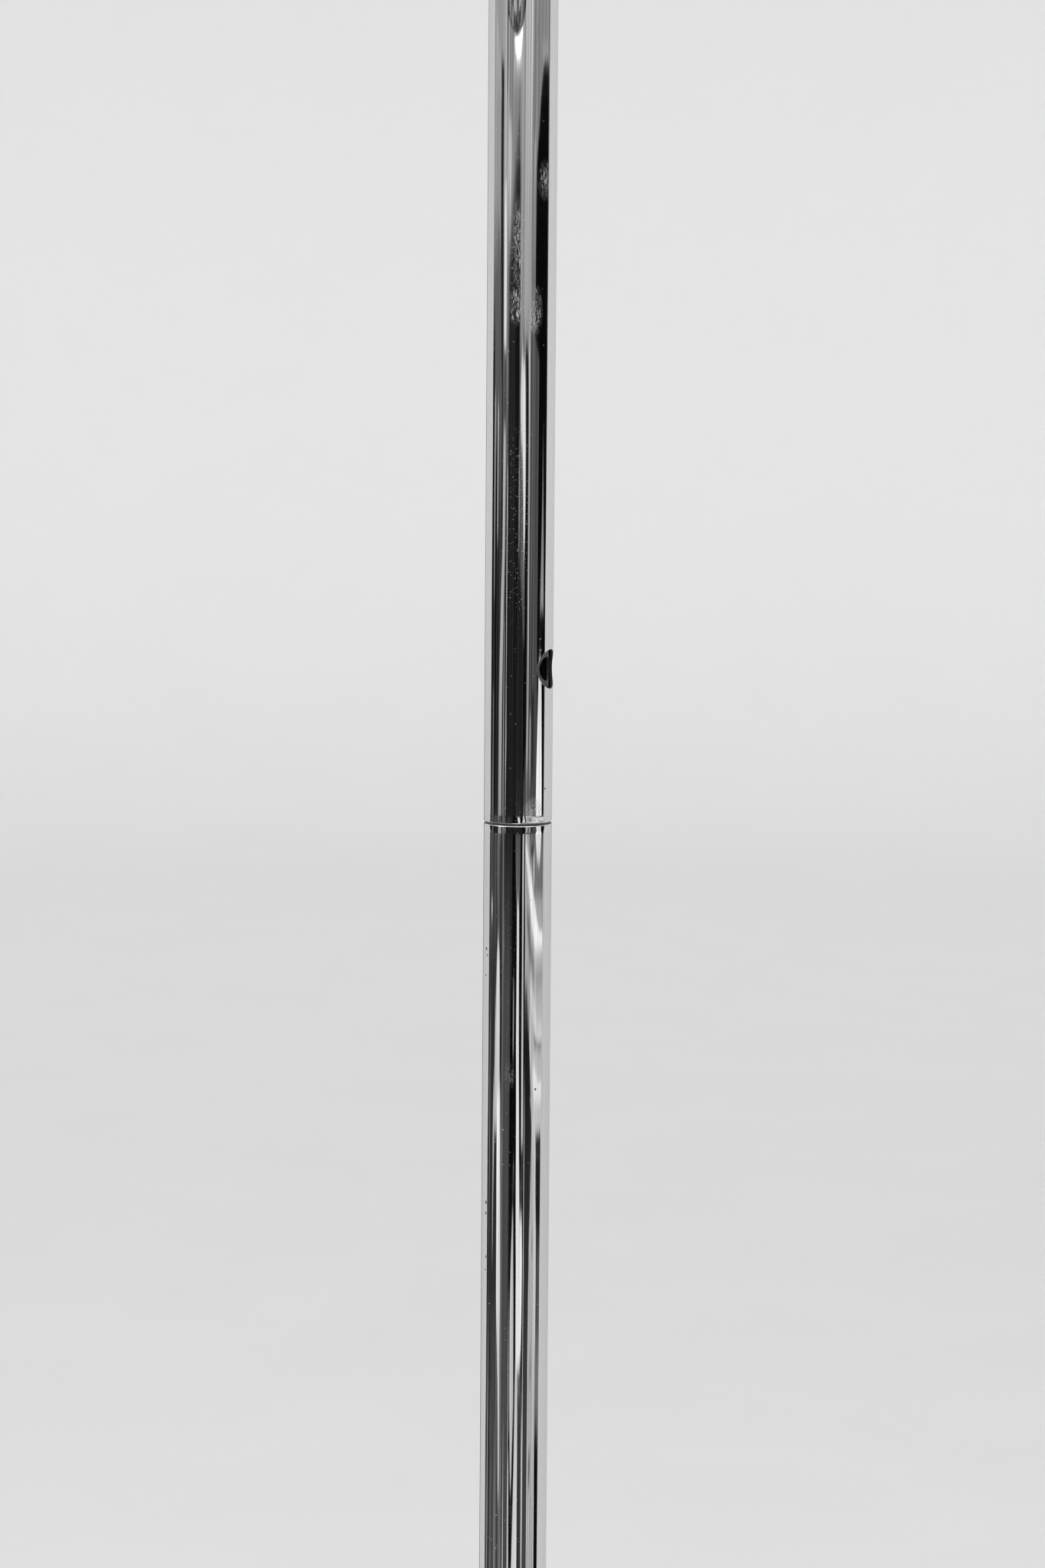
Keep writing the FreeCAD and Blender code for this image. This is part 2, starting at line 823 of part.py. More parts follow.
node(
    "arm_tube",
    tube(
        "arm_tube",
        s.arm_radius - s.arm_wall,
        s.arm_radius,
        s.arm_start,
        s.arm_end,
        (0, 0, s.arm_height),
        TO_MINUS_Y,
    ),
)

# fork: plug and collar turned in one, then the two cheeks
fork_stem = turned(
    "fork_stem",
    [
        (0, s.arm_end - 20),
        (s.arm_radius - s.arm_wall - s.press_gap, s.arm_end - 20),
        (s.arm_radius - s.arm_wall - s.press_gap, s.arm_end),
        (s.fork_radius, s.arm_end),
        (s.fork_radius, s.arm_end + 4.5),
        (0, s.arm_end + 4.5),
    ],
    None,
    (0, 0, s.arm_height),
    TO_MINUS_Y,
)
fork_block = block(
    "fork_block",
    (-s.fork_half, -s.arm_reach, s.arm_height - s.fork_radius),
    (s.fork_half, -(s.arm_end + 4), s.arm_height + s.fork_radius),
)
fork_round = bar(
    "fork_round", s.fork_radius, 2 * s.fork_half, (-s.fork_half, -s.arm_reach, s.arm_height), X
)
fork_gap = block(
    "fork_gap",
    (-s.fork_slot, -s.arm_reach - 20, s.arm_height - 20),
    (s.fork_slot, -s.arm_reach + 12.5, s.arm_height + 20),
)
node(
    "arm_fork",
    cut(
        joined(fork_stem, fork_block, fork_round),
        fork_gap,
        bar("fork_pivot_hole", s.bolt_radius + 0.05, 40.0, (-20, -s.arm_reach, s.arm_height), X),
        bar("fork_lead_hole", 2.6, 40.0, (0, -(s.arm_end - 25), s.arm_height), -Y),
    ),
)
pivot = (0, -s.arm_reach, s.arm_height)
node(
    "tilt_bolt",
    turned(
        "tilt_bolt",
        [
            (0, -11.6),
            (3.2, -11.6),
            (5.0, -10.4),
            (5.0, -s.fork_half),
            (s.bolt_radius, -s.fork_half),
            (s.bolt_radius, 18.6),
            (s.bolt_radius - 0.4, 19.0),
            (0, 19.0),
        ],
        None,
        pivot,
        TO_X,
    ),
)
washer_in = s.eye_half + 0.05
washer_out = s.fork_slot - 0.05
node(
    "friction_washers",
    group(
        tube("friction_washer_a", 2.6, 8.0, washer_in, washer_out, pivot, TO_X),
        tube("friction_washer_b", 2.6, 8.0, -washer_out, -washer_in, pivot, TO_X),
    ),
)
node(
    "knob_washer",
    tube("knob_washer", 2.6, 7.0, s.fork_half, s.fork_half + 1, pivot, TO_X),
)

# clamp knob on the bolt's free end, with grip flutes
knob_body = turned(
    "knob_blank",
    [
        (s.bolt_radius + 0.06, 9.4),
        (8.0, 9.4),
        (8.0, 11.0),
        (s.knob_radius - 0.8, 11.0),
        (s.knob_radius, 11.8),
        (s.knob_radius, 20.6),
        (s.knob_radius - 1.4, 22.4),
        (0, 23.4),
        (0, 19.6),
        (s.bolt_radius + 0.06, 19.6),
    ],
    {6: (dome(s.knob_radius - 1.4, 1.0), True)},
)
doc.recompute()
round_slots(
    knob_body,
    [(s.knob_radius - 0.55, 0), (s.knob_radius + 0.6, -0.95), (s.knob_radius + 0.6, 0.95)],
    26.0,
    15.5,
    20,
)
node("tilt_knob", put(knob_body, pivot, TO_X))

# ------------------------------------------------------------- tilting head
eye_disc = bar("eye_disc", s.fork_radius, 2 * s.eye_half, (-s.eye_half, -s.arm_reach, s.arm_height), X)
eye_neck = block(
    "eye_neck",
    (-s.eye_half, -s.arm_reach - 6, s.cup_top + 6),
    (s.eye_half, -s.arm_reach + 6, s.arm_height),
)
eye_boss = turned(
    "eye_boss",
    [
        (0, s.cup_top),
        (6.5, s.cup_top),
        (6.5, s.cup_top + 7.2),
        (5.7, s.cup_top + 8),
        (0, s.cup_top + 8),
    ],
    None,
    (0, -s.arm_reach, 0),
)
node(
    "tilt_eye",
    cut(
        joined(eye_disc, eye_neck, eye_boss),
        bar("eye_bore", s.bolt_radius + 0.04, 20.0, (-10, -s.arm_reach, s.arm_height), X),
        bar("eye_thread", stud_hole, 8.0, (0, -s.arm_reach, s.cup_top - 2)),
    ),
)

# holder cup: drawn cup with eight vent slots and a hole for the switch
cup_foot = s.cup_top - s.cup_height
cup_body = turned(
    "cup_blank",
    [
        (s.stud_radius + 0.1, s.cup_top - s.cup_wall),
        (s.cup_radius - 6, s.cup_top - s.cup_wall),
        (s.cup_radius - s.cup_wall, s.cup_top - 6),
        (s.cup_radius - s.cup_wall, cup_foot),
        (s.cup_radius, cup_foot),
        (s.cup_radius, s.cup_top - 6),
        (s.cup_radius - 6, s.cup_top),
        (s.stud_radius + 0.1, s.cup_top),
    ],
    {1: (5.0, False), 5: (6.0, True)},
    (0, -s.arm_reach, 0),
)
doc.recompute()
# the sketch stands upright on the cup's axis; the slots are cut outwards from it
vent = outline(
    cup_body,
    [
        (-1.25, s.cup_top - 24),
        (1.25, s.cup_top - 24),
        (1.25, s.cup_top - 12),
        (-1.25, s.cup_top - 12),
    ],
    None,
    "XZ_Plane",
    "vent",
    Placement(Vector(0, 0, 0), Rotation(Y, 22.5)),
)
vent_cut = cup_body.newObject("PartDesign::Pocket", "vent_cut")
vent_cut.Profile = vent
set_size(vent_cut, "Length", s.cup_radius + 5)
cup_body.Tip = vent_cut
doc.recompute()
vent_ring = cup_body.newObject("PartDesign::PolarPattern", "vent_ring")
vent_ring.Originals = [vent_cut]
vent_ring.Axis = (vent, ["V_Axis"])
vent_ring.Angle = 360.0
vent_ring.Occurrences = 8
cup_body.Tip = vent_ring
doc.recompute()
removed.append(
    (vent_ring.Shape.Volume, cup_body.Group[1].Shape.Volume - 200.0, "cup vents")
)
node(
    "holder_cup",
    cut(
        cup_body,
        bar("switch_hole", 4.0, 20.0, (0, -(s.arm_reach + 15), s.cup_top - 17), -Y),
    ),
)
head_at = (0, -s.arm_reach, 0)
node(
    "holder_nipple",
    tube("holder_nipple", s.stud_bore, s.stud_radius, s.cup_top - 34, s.cup_top + 5.5, head_at),
)
node(
    "lampholder_cap",
    turned(
        "lampholder_cap",
        [
            (stud_hole, s.cup_top - 31),
            (13.0, s.cup_top - 31),
            (s.holder_radius - 2, s.cup_top - 37),
            (s.holder_radius - 2, s.cup_top - 52),
            (s.holder_radius, s.cup_top - 52),
            (s.holder_radius, s.cup_top - 35.5),
            (14.0, s.cup_top - 27),
            (9.5, s.cup_top - 26),
            (stud_hole, s.cup_top - 26),
        ],
        {5: (9.0, True)},
        head_at,
    ),
)
node(
    "lampholder_body",
    turned(
        "lampholder_body",
        [
            (13.85, s.cup_top - 88),
            (s.holder_radius - 0.8, s.cup_top - 88),
            (s.holder_radius, s.cup_top - 87.2),
            (s.holder_radius, s.cup_top - 52),
            (3.0, s.cup_top - 52),
            (3.0, s.cup_top - 57.5),
            (13.85, s.cup_top - 57.5),
        ],
        None,
        head_at,
    ),
)
node(
    "screw_shell",
    tube("screw_shell", 13.35, 13.8, s.cup_top - 84, s.cup_top - 61, head_at),
)
z0 = s.cup_top - 60
node(
    "centre_contact",
    extruded(
        "centre_contact",
        [
            (-9, z0 + 2.4),
            (-9, z0 + 1.9),
            (-3, z0 + 1.9),
            (-1.5, z0),
            (1.5, z0),
            (3, z0 + 1.9),
            (9, z0 + 1.9),
            (9, z0 + 2.4),
            (2.8, z0 + 2.4),
            (1.25, z0 + 0.5),
            (-1.25, z0 + 0.5),
            (-2.8, z0 + 2.4),
        ],
        6.0,
        None,
        "XZ_Plane",
        head_at,
    ),
)

# shade: half-round bowl with a flat plate where the cup and the ring clamp it
plate_top = cup_foot
plate_low = cup_foot - s.cup_wall
shade_centre = plate_top - s.shade_drop
inner_r = s.shade_radius - s.cup_wall
outer_edge = (s.shade_radius * s.shade_radius - s.shade_drop * s.shade_drop).root()
inner_drop = s.shade_drop - s.cup_wall
inner_edge = (inner_r * inner_r - inner_drop * inner_drop).root()
shade_blank = turned(
    "shade_blank",
    [
        (s.holder_radius + 0.2, plate_low),
        (inner_edge, plate_low),
        (inner_r, shade_centre),
        (s.shade_radius, shade_centre),
        (outer_edge, plate_top),
        (s.holder_radius + 0.2, plate_top),
    ],
    {1: (inner_r, False), 3: (s.shade_radius, True)},
    head_at,
)
bead = doc.addObject("Part::Torus", "rim_bead")
set_size(bead, "Radius1", s.shade_radius - 0.5)
set_size(bead, "Radius2", 1.5)
put(bead, (0, -s.arm_reach, shade_centre))
node("shade", joined(shade_blank, bead))

ring_body = turned(
    "ring_blank",
    [
        (s.holder_radius + 0.05, plate_low - 5),
        (24.6, plate_low - 5),
        (25.6, plate_low - 4),
        (25.6, plate_low),
        (s.holder_radius + 0.05, plate_low),
    ],
)
doc.recompute()
round_slots(
    ring_body, [(24.9, -1.5), (27.0, -1.5), (27.0, 1.5), (24.9, 1.5)], plate_low + 1, 10.0, 12
)
node("shade_ring", put(ring_body, head_at))

bulb_foot = s.cup_top - 86.8
node(
    "bulb_cap",
    turned(
        "bulb_cap",
        [
            (0, bulb_foot),
            (13.1, bulb_foot),
            (13.1, bulb_foot + 22),
            (9.0, bulb_foot + 24),
            (5.0, bulb_foot + 25),
            (4.0, bulb_foot + 26.4),
            (0, bulb_foot + 26.6),
        ],
        None,
        head_at,
    ),
)
bulb_centre = bulb_foot - 50
glass_in = s.bulb_radius - 1
node(
    "bulb_glass",
    turned(
        "bulb_glass",
        [
            (12.8, bulb_foot),
            (s.bulb_radius * 0.8, bulb_centre + s.bulb_radius * 0.6),
            (0, bulb_centre - s.bulb_radius),
            (0, bulb_centre - glass_in),
            (glass_in * 0.8, bulb_centre + glass_in * 0.6),
            (11.8, bulb_foot),
        ],
        {
            0: (60.0, True),
            1: (s.bulb_radius, False),
            3: (glass_in, True),
            4: (61.0, False),
        },
        head_at,
    ),
)

# rotary switch: body in the cup, bush and nut through its wall, knob outside
switch_height = s.cup_top - 17
switch_box = block(
    "switch_box",
    (-7, -(s.arm_reach + 20.4), switch_height - 7),
    (7, -(s.arm_reach + 7.4), switch_height + 7),
)
switch_neck = bar(
    "switch_neck", 3.9, 7.0, (0, -(s.arm_reach + 20), switch_height), -Y
)
node(
    "switch_body",
    cut(
        joined(switch_box, switch_neck),
        bar("switch_bore", 2.05, 16.0, (0, -(s.arm_reach + 12), switch_height), -Y),
    ),
)
node(
    "switch_nut",
    cut(
        hexagon("switch_nut_blank", 11.0, 2.0, (0, -(s.arm_reach + 23.2), switch_height), -Y),
        bar("switch_nut_bore", 3.95, 6.0, (0, -(s.arm_reach + 21), switch_height), -Y),
    ),
)
switch_knob = turned(
    "switch_knob_blank",
    [
        (0, 12.5),
        (1.97, 12.5),
        (1.97, 27.5),
        (6.2, 27.5),
        (6.6, 28.2),
        (6.6, 35.8),
        (5.6, 37.2),
        (0, 37.8),
    ],
    {6: (dome(5.6, 0.6), True)},
)
doc.recompute()
round_slots(switch_knob, [(6.25, 0), (7.2, -0.7), (7.2, 0.7)], 40.0, 11.5, 16)
node(
    "switch_knob",
    put(switch_knob, (0, -s.arm_reach, switch_height), TO_MINUS_Y),
)

# ---------------------------------------------------------------- checks, out
doc.recompute()
for obj in doc.Objects:
    bad = [st for st in obj.State if st in ("Invalid", "Error")]
    if bad:
        raise RuntimeError("%s (%s): %s" % (obj.Name, obj.Label, obj.State))
for obj, before in cuts:
    if not obj.Shape.Volume < before.Shape.Volume - 0.01:
        raise RuntimeError("%s from %s removes nothing" % (obj.Tool.Name, before.Name))
for after, before, what in removed:
    if not after < before - 0.1:
        raise RuntimeError("%s removes nothing" % what)
for label, obj in nodes.items():
    shape = obj.Shape
    if shape.isNull() or not shape.isValid() or not shape.Solids:
        raise RuntimeError("%s has no valid solid" % label)
    if obj.Label != label:
        raise RuntimeError("%s is labelled %s" % (label, obj.Label))

os.makedirs("parts", exist_ok=True)
for label, obj in nodes.items():
    obj.Shape.exportStep("parts/%s.step" % label)
    print(
        "%-18s solids %d  volume %10.1f mm3" % (label, len(obj.Shape.Solids), obj.Shape.Volume)
    )
print("%d nodes" % len(nodes))
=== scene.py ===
"""Looks of a telescopic floor lamp: chromed pole in two sections, weighted base,
swivelling arm, tilting half-round shade. Metres, +Z up, floor at z = 0."""

import json
import math

import bmesh
import bpy
import numpy as np
from mathutils import Matrix, Vector

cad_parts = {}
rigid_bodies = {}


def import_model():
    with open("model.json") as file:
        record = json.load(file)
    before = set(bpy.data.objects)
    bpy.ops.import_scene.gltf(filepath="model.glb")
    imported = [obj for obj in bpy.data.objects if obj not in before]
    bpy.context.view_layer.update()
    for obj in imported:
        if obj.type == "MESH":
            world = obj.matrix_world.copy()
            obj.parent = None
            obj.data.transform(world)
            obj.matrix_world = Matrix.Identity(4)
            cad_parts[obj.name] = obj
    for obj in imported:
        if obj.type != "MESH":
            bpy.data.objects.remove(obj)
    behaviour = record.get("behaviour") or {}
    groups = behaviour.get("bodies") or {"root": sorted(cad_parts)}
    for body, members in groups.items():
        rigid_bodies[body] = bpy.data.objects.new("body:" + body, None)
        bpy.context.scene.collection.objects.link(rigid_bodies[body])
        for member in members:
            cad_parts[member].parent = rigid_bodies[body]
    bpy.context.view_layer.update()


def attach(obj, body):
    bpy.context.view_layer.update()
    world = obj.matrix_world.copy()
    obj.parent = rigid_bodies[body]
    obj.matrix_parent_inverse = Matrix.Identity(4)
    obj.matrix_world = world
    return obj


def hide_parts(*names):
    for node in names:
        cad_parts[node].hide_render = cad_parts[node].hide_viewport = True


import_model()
scene = bpy.context.scene
MM = 0.001

# ------------------------------------------------------------------- camera
# The photograph's view: a little above the seam, slightly from the right.
VIEW_AZIMUTH = 22.0
VIEW_DISTANCE = 1.3011
VIEW_HEIGHT = 1.0441
VIEW_YAW = -0.072
VIEW_PITCH = 5.699
VIEW_ROLL = 0.4115
VIEW_LENS = 81.70


def make_camera():
    a = math.radians(VIEW_AZIMUTH)
    fa = math.radians(VIEW_AZIMUTH + VIEW_YAW)
    p = math.radians(VIEW_PITCH)
    roll = math.radians(VIEW_ROLL)
    place = Vector((VIEW_DISTANCE * math.sin(a), -VIEW_DISTANCE * math.cos(a), VIEW_HEIGHT))
    ahead = Vector((-math.sin(fa) * math.cos(p), math.cos(fa) * math.cos(p), -math.sin(p)))
    right = ahead.cross(Vector((0, 0, 1))).normalized()
    up = right.cross(ahead)
    right2 = right * math.cos(roll) + up * math.sin(roll)
    up2 = -right * math.sin(roll) + up * math.cos(roll)
    data = bpy.data.cameras.new("studio_camera")
    data.lens = VIEW_LENS
    data.sensor_fit = "AUTO"
    data.sensor_width = 36.0
    data.clip_start = 0.02
    data.clip_end = 60.0
    cam = bpy.data.objects.new("studio_camera", data)
    scene.collection.objects.link(cam)
    m = Matrix((right2, up2, -ahead)).transposed().to_4x4()
    m.translation = place
    cam.matrix_world = m
    scene.camera = cam


make_camera()

# ---------------------------------------------------------------- materials


class Look:
    """A node material in short form. Coordinates are the row frame in mm."""

    def __init__(self, name, **sockets):
        self.mat = bpy.data.materials.new(name)
        self.mat.use_nodes = True
        self.tree = self.mat.node_tree
        self.tree.nodes.clear()
        self.out = self.tree.nodes.new("ShaderNodeOutputMaterial")
        self.bsdf = self.tree.nodes.new("ShaderNodeBsdfPrincipled")
        self.tree.links.new(self.bsdf.outputs[0], self.out.inputs["Surface"])
        self.set(self.bsdf, sockets)
        self._p = None

    def set(self, node, sockets):
        for key, value in sockets.items():
            key = key.replace("_", " ") if isinstance(key, str) and key not in node.inputs else key
            self.feed(node.inputs[key], value)

    def feed(self, socket, value):
        if isinstance(value, bpy.types.NodeSocket):
            self.tree.links.new(value, socket)
        elif isinstance(value, (tuple, list)) and len(value) == 3 and socket.type == "RGBA":
            socket.default_value = (*value, 1.0)
        else:
            socket.default_value = value

    def give(self, **sockets):
        names = {s.name.lower().replace(" ", "_"): s for s in self.bsdf.inputs}
        for key, value in sockets.items():
            self.feed(names[key], value)
        return self

    def node(self, kind, inputs=None, out=0, **props):
        n = self.tree.nodes.new("ShaderNode" + kind)
        for key, value in props.items():
            setattr(n, key, value)
        for key, value in (inputs or {}).items():
            self.feed(n.inputs[key], value)
        return n.outputs[out]

    @property
    def p(self):
        """Position in millimetres."""
        if self._p is None:
            co = self.node("TexCoord", out=3)
            self._p = self.vmath("SCALE", co, scale=1000.0)
        return self._p

    def vmath(self, op, a, b=None, scale=None):
        n = self.tree.nodes.new("ShaderNodeVectorMath")
        n.operation = op
        self.feed(n.inputs[0], a)
        if b is not None:
            self.feed(n.inputs[1], b)
        if scale is not None:
            self.feed(n.inputs["Scale"], scale)
        return n.outputs["Value" if op in ("LENGTH", "DISTANCE", "DOT_PRODUCT") else "Vector"]

    def math(self, op, a, b=None, c=None, clamp=False):
        n = self.tree.nodes.new("ShaderNodeMath")
        n.operation = op
        n.use_clamp = clamp
        for i, v in enumerate((a, b, c)):
            if v is not None:
                self.feed(n.inputs[i], v)
        return n.outputs[0]

    def noise(self, at, scale=1.0, detail=2.0, rough=0.5, warp=0.0, colour=False, stretch=None):
        if stretch is not None:
            at = self.vmath("MULTIPLY", at, stretch)
        return self.node(
            "TexNoise",
            {"Vector": at, "Scale": scale, "Detail": detail, "Roughness": rough, "Distortion": warp},
            1 if colour else 0,
        )

    def cells(self, at, scale=1.0, feature="F1", random=1.0, out="Distance", stretch=None):
        if stretch is not None:
            at = self.vmath("MULTIPLY", at, stretch)
        n = self.tree.nodes.new("ShaderNodeTexVoronoi")
        n.feature = feature
        self.feed(n.inputs["Vector"], at)
        n.inputs["Scale"].default_value = scale
        n.inputs["Randomness"].default_value = random
        return n.outputs[out], n

    def span(self, value, low, high, to_low=0.0, to_high=1.0, smooth=False):
        """value from low..high mapped to to_low..to_high, held at the ends."""
        n = self.tree.nodes.new("ShaderNodeMapRange")
        n.clamp = True
        n.interpolation_type = "SMOOTHSTEP" if smooth else "LINEAR"
        for i, v in enumerate((value, low, high, to_low, to_high)):
            self.feed(n.inputs[i], v)
        return n.outputs[0]

    def mix(self, share, a, b):
        n = self.tree.nodes.new("ShaderNodeMix")
        n.data_type = "RGBA"
        self.feed(n.inputs[0], share)
        self.feed(n.inputs[6], a if isinstance(a, bpy.types.NodeSocket) else (*a, 1.0))
        self.feed(n.inputs[7], b if isinstance(b, bpy.types.NodeSocket) else (*b, 1.0))
        return n.outputs[2]

    def blend(self, share, a, b):
        n = self.tree.nodes.new("ShaderNodeMix")
        n.data_type = "FLOAT"
        self.feed(n.inputs[0], share)
        self.feed(n.inputs[2], a)
        self.feed(n.inputs[3], b)
        return n.outputs[0]

    def bump(self, height, depth_mm, strength=1.0, under=None):
        ins = {"Strength": strength, "Distance": depth_mm * MM, "Height": height}
        if under is not None:
            ins["Normal"] = under
        return self.node("Bump", ins)

    def any_of(self, *values):
        out = values[0]
        for v in values[1:]:
            out = self.math("MAXIMUM", out, v)
        return out

    def all_of(self, *values):
        out = values[0]
        for v in values[1:]:
            out = self.math("MULTIPLY", out, v)
        return out

    def specks(self, scale, radius, share, stretch=None):
        """Scattered dots: scale is the cells per mm, radius in cells, share of cells that have one."""
        d, n = self.cells(self.p, scale, stretch=stretch)
        picked = self.node("SeparateColor", {0: n.outputs["Color"]}, 0)
        there = self.math("LESS_THAN", picked, share)
        return self.math("MULTIPLY", self.span(d, radius, radius * 0.55), there)

    def near(self, centre, size, power=1.0):
        """1 at a point on the object, falling to 0 at size mm each way."""
        off = self.vmath("SUBTRACT", self.p, centre)
        off = self.vmath("DIVIDE", off, size)
        return self.span(self.vmath("LENGTH", off), 1.0, 0.35, smooth=True)


def chrome(name, tint=0.745, polish=0.035, wave=0.5, haze=0.5, dust=0.3, pits=0.3, extra=None, seam=None):
    """Old nickel-chrome plate: long waves of the metal under it, hairlines, haze, dust, rust pits."""
    k = Look(name)
    p = k.p
    haze_map = k.span(k.noise(p, 0.035, 3.0, 0.6), 0.45, 0.75)
    hair = k.noise(p, 1.0, 3.0, 0.7, stretch=(2.6, 2.6, 0.02))
    fine = k.noise(p, 1.0, 2.0, 0.6, stretch=(9.0, 9.0, 0.05))
    rough = k.span(haze_map, 0.0, 1.0, polish, polish + 0.09 * haze)
    rough = k.math("ADD", rough, k.span(fine, 0.55, 0.8, 0.0, 0.05 * haze))
    grit = k.specks(1.5, 0.22, 0.10 * dust)
    grit2 = k.specks(0.55, 0.16, 0.16 * dust)
    patch = k.span(k.noise(p, 0.05, 2.0, 0.5), 0.42, 0.62)
    grit = k.all_of(k.any_of(grit, grit2), patch)
    pit = k.specks(0.16, 0.07, 0.05 * pits)
    colour = k.mix(k.span(hair, 0.2, 0.8), (tint * 0.97,) * 3, (tint * 1.03,) * 3)
    marks = k.math("MULTIPLY", grit, 0.55)
    if extra:
        rough, marks, pit, colour = extra(k, rough, marks, pit, colour)
    colour = k.mix(marks, colour, (0.62, 0.62, 0.61))
    colour = k.mix(pit, colour, (0.022, 0.018, 0.016))
    metal = k.math("SUBTRACT", 1.0, k.any_of(k.math("MULTIPLY", marks, 0.9), pit), clamp=True)
    rough = k.blend(k.any_of(marks, pit), rough, 0.6)
    swell = k.noise(p, 1.0, 2.0, 0.5, stretch=(0.09, 0.09, 0.012))
    swell2 = k.noise(p, 1.0, 2.0, 0.5, stretch=(0.32, 0.32, 0.02))
    height = k.math("ADD", k.math("MULTIPLY", swell, 1.0), k.math("MULTIPLY", swell2, 0.25))
    normal = k.bump(height, 0.035 * wave)
    if seam is not None:  # the polished ends of the tubes fall away a little towards the seam
        off = k.math("ABSOLUTE", k.math("SUBTRACT", k.node("SeparateXYZ", {0: p}, 2), seam))
        fall = k.math("SUBTRACT", k.span(off, 0.1, 3.4, smooth=True), 1.0)
        uneven = k.span(k.noise(p, 1.0, 2.0, 0.6, stretch=(0.28, 0.28, 0.06)), 0.35, 0.65, 0.25, 1.0)
        normal = k.bump(k.math("MULTIPLY", fall, uneven), 0.11, under=normal)
    normal = k.bump(hair, 0.0009 * haze, under=normal)
    normal = k.bump(pit, -0.03, under=normal)
    k.give(base_color=colour, metallic=metal, roughness=rough, normal=normal)
    return k.mat


# ------------------------------------------------------------ mesh workshop
def turn_from(axis):
    """Matrix that stands a turned piece's own axis along X, Y, -Y or Z."""
    z = Vector(axis)
    if abs(z.z) > 0.9:
        return Matrix.Identity(4)
    return Vector((0, 0, 1)).rotation_difference(z).to_matrix().to_4x4()


def sides_of(points, arcs, step_deg=5.0, max_len=None):
    """Profile sides as lists of (r, z, nr, nz) in mm, normals outward."""
    area = sum(
        a[0] * b[1] - b[0] * a[1] for a, b in zip(points, points[1:] + points[:1])
    )
    flip = 1.0 if area > 0 else -1.0
    sides = []
    for i, (a, b) in enumerate(zip(points, points[1:] + points[:1])):
        a, b = Vector(a), Vector(b)
        if a.x < 1e-9 and b.x < 1e-9:
            sides.append(None)
            continue
        if i not in arcs:
            d = (b - a).normalized()
            n = Vector((d.y, -d.x)) * flip
            count = 1 if max_len is None else max(1, math.ceil((b - a).length / max_len))
            sides.append(
                [(*(a + (b - a) * (j / count)), n.x, n.y) for j in range(count + 1)]
            )
            continue
        radius, left = arcs[i]
        chord = b - a
        side = Vector((-chord.y, chord.x)).normalized() * (1 if left else -1)
        c = (a + b) / 2 + side * math.sqrt(max(radius**2 - (chord.length / 2) ** 2, 0))
        t1 = math.atan2(a.y - c.y, a.x - c.x)
        t2 = math.atan2(b.y - c.y, b.x - c.x)
        if left and t2 < t1:
            t2 += 2 * math.pi
        if not left and t2 > t1:
            t2 -= 2 * math.pi
        count = max(3, math.ceil(math.degrees(abs(t2 - t1)) / step_deg))
        sign = (1.0 if left else -1.0) * flip
        run = []
        for j in range(count + 1):
            t = t1 + (t2 - t1) * j / count
            run.append(
                (c.x + radius * math.cos(t), c.y + radius * math.sin(t), math.cos(t) * sign, math.sin(t) * sign)
            )
        run[0] = (a.x, a.y, *run[0][2:])
        run[-1] = (b.x, b.y, *run[-1][2:])
        sides.append(run)
    return sides


def softened(sides, ease):
    """Rounds each sharp outer corner between two sides by ease mm."""
    if not ease:
        return sides
    out, n = [list(s) if s else None for s in sides], len(sides)
    rounds = {}
    for i in range(n):
        a, b = out[i], out[(i + 1) % n]
        if not a or not b:
            continue
        na, nb = Vector(a[-1][2:]), Vector(b[0][2:])
        turn = na.angle(nb)
        ta = (Vector(a[-1][:2]) - Vector(a[-2][:2])).normalized()
        if turn < math.radians(18) or nb.dot(ta) < 0.05:  # smooth, or a hollow corner
            continue
        room = min(
            (Vector(a[-1][:2]) - Vector(a[-2][:2])).length,
            (Vector(b[1][:2]) - Vector(b[0][:2])).length,
        )
        back = min(ease * math.tan(turn / 2), room * 0.45)
        corner = Vector(a[-1][:2])
        tb = (Vector(b[1][:2]) - Vector(b[0][:2])).normalized()
        pa, pb = corner - ta * back, corner + tb * back
        if min(pa.x, pb.x) < 1e-6:
            continue
        a[-1] = (*pa, *a[-1][2:])
        b[0] = (*pb, *b[0][2:])
        run = []
        radius = back / math.tan(turn / 2)
        c = pa - na * radius
        for j in range(5):
            m = na.slerp(nb, j / 4)
            q = c + m * radius
            run.append((q.x, q.y, m.x, m.y))
        run[0], run[-1] = (*pa, *na), (*pb, *nb)
        rounds[i] = run
    made = []
    for i in range(n):
        made.append((i, out[i]))
        if i in rounds:
            made.append((i, rounds[i]))
    return made


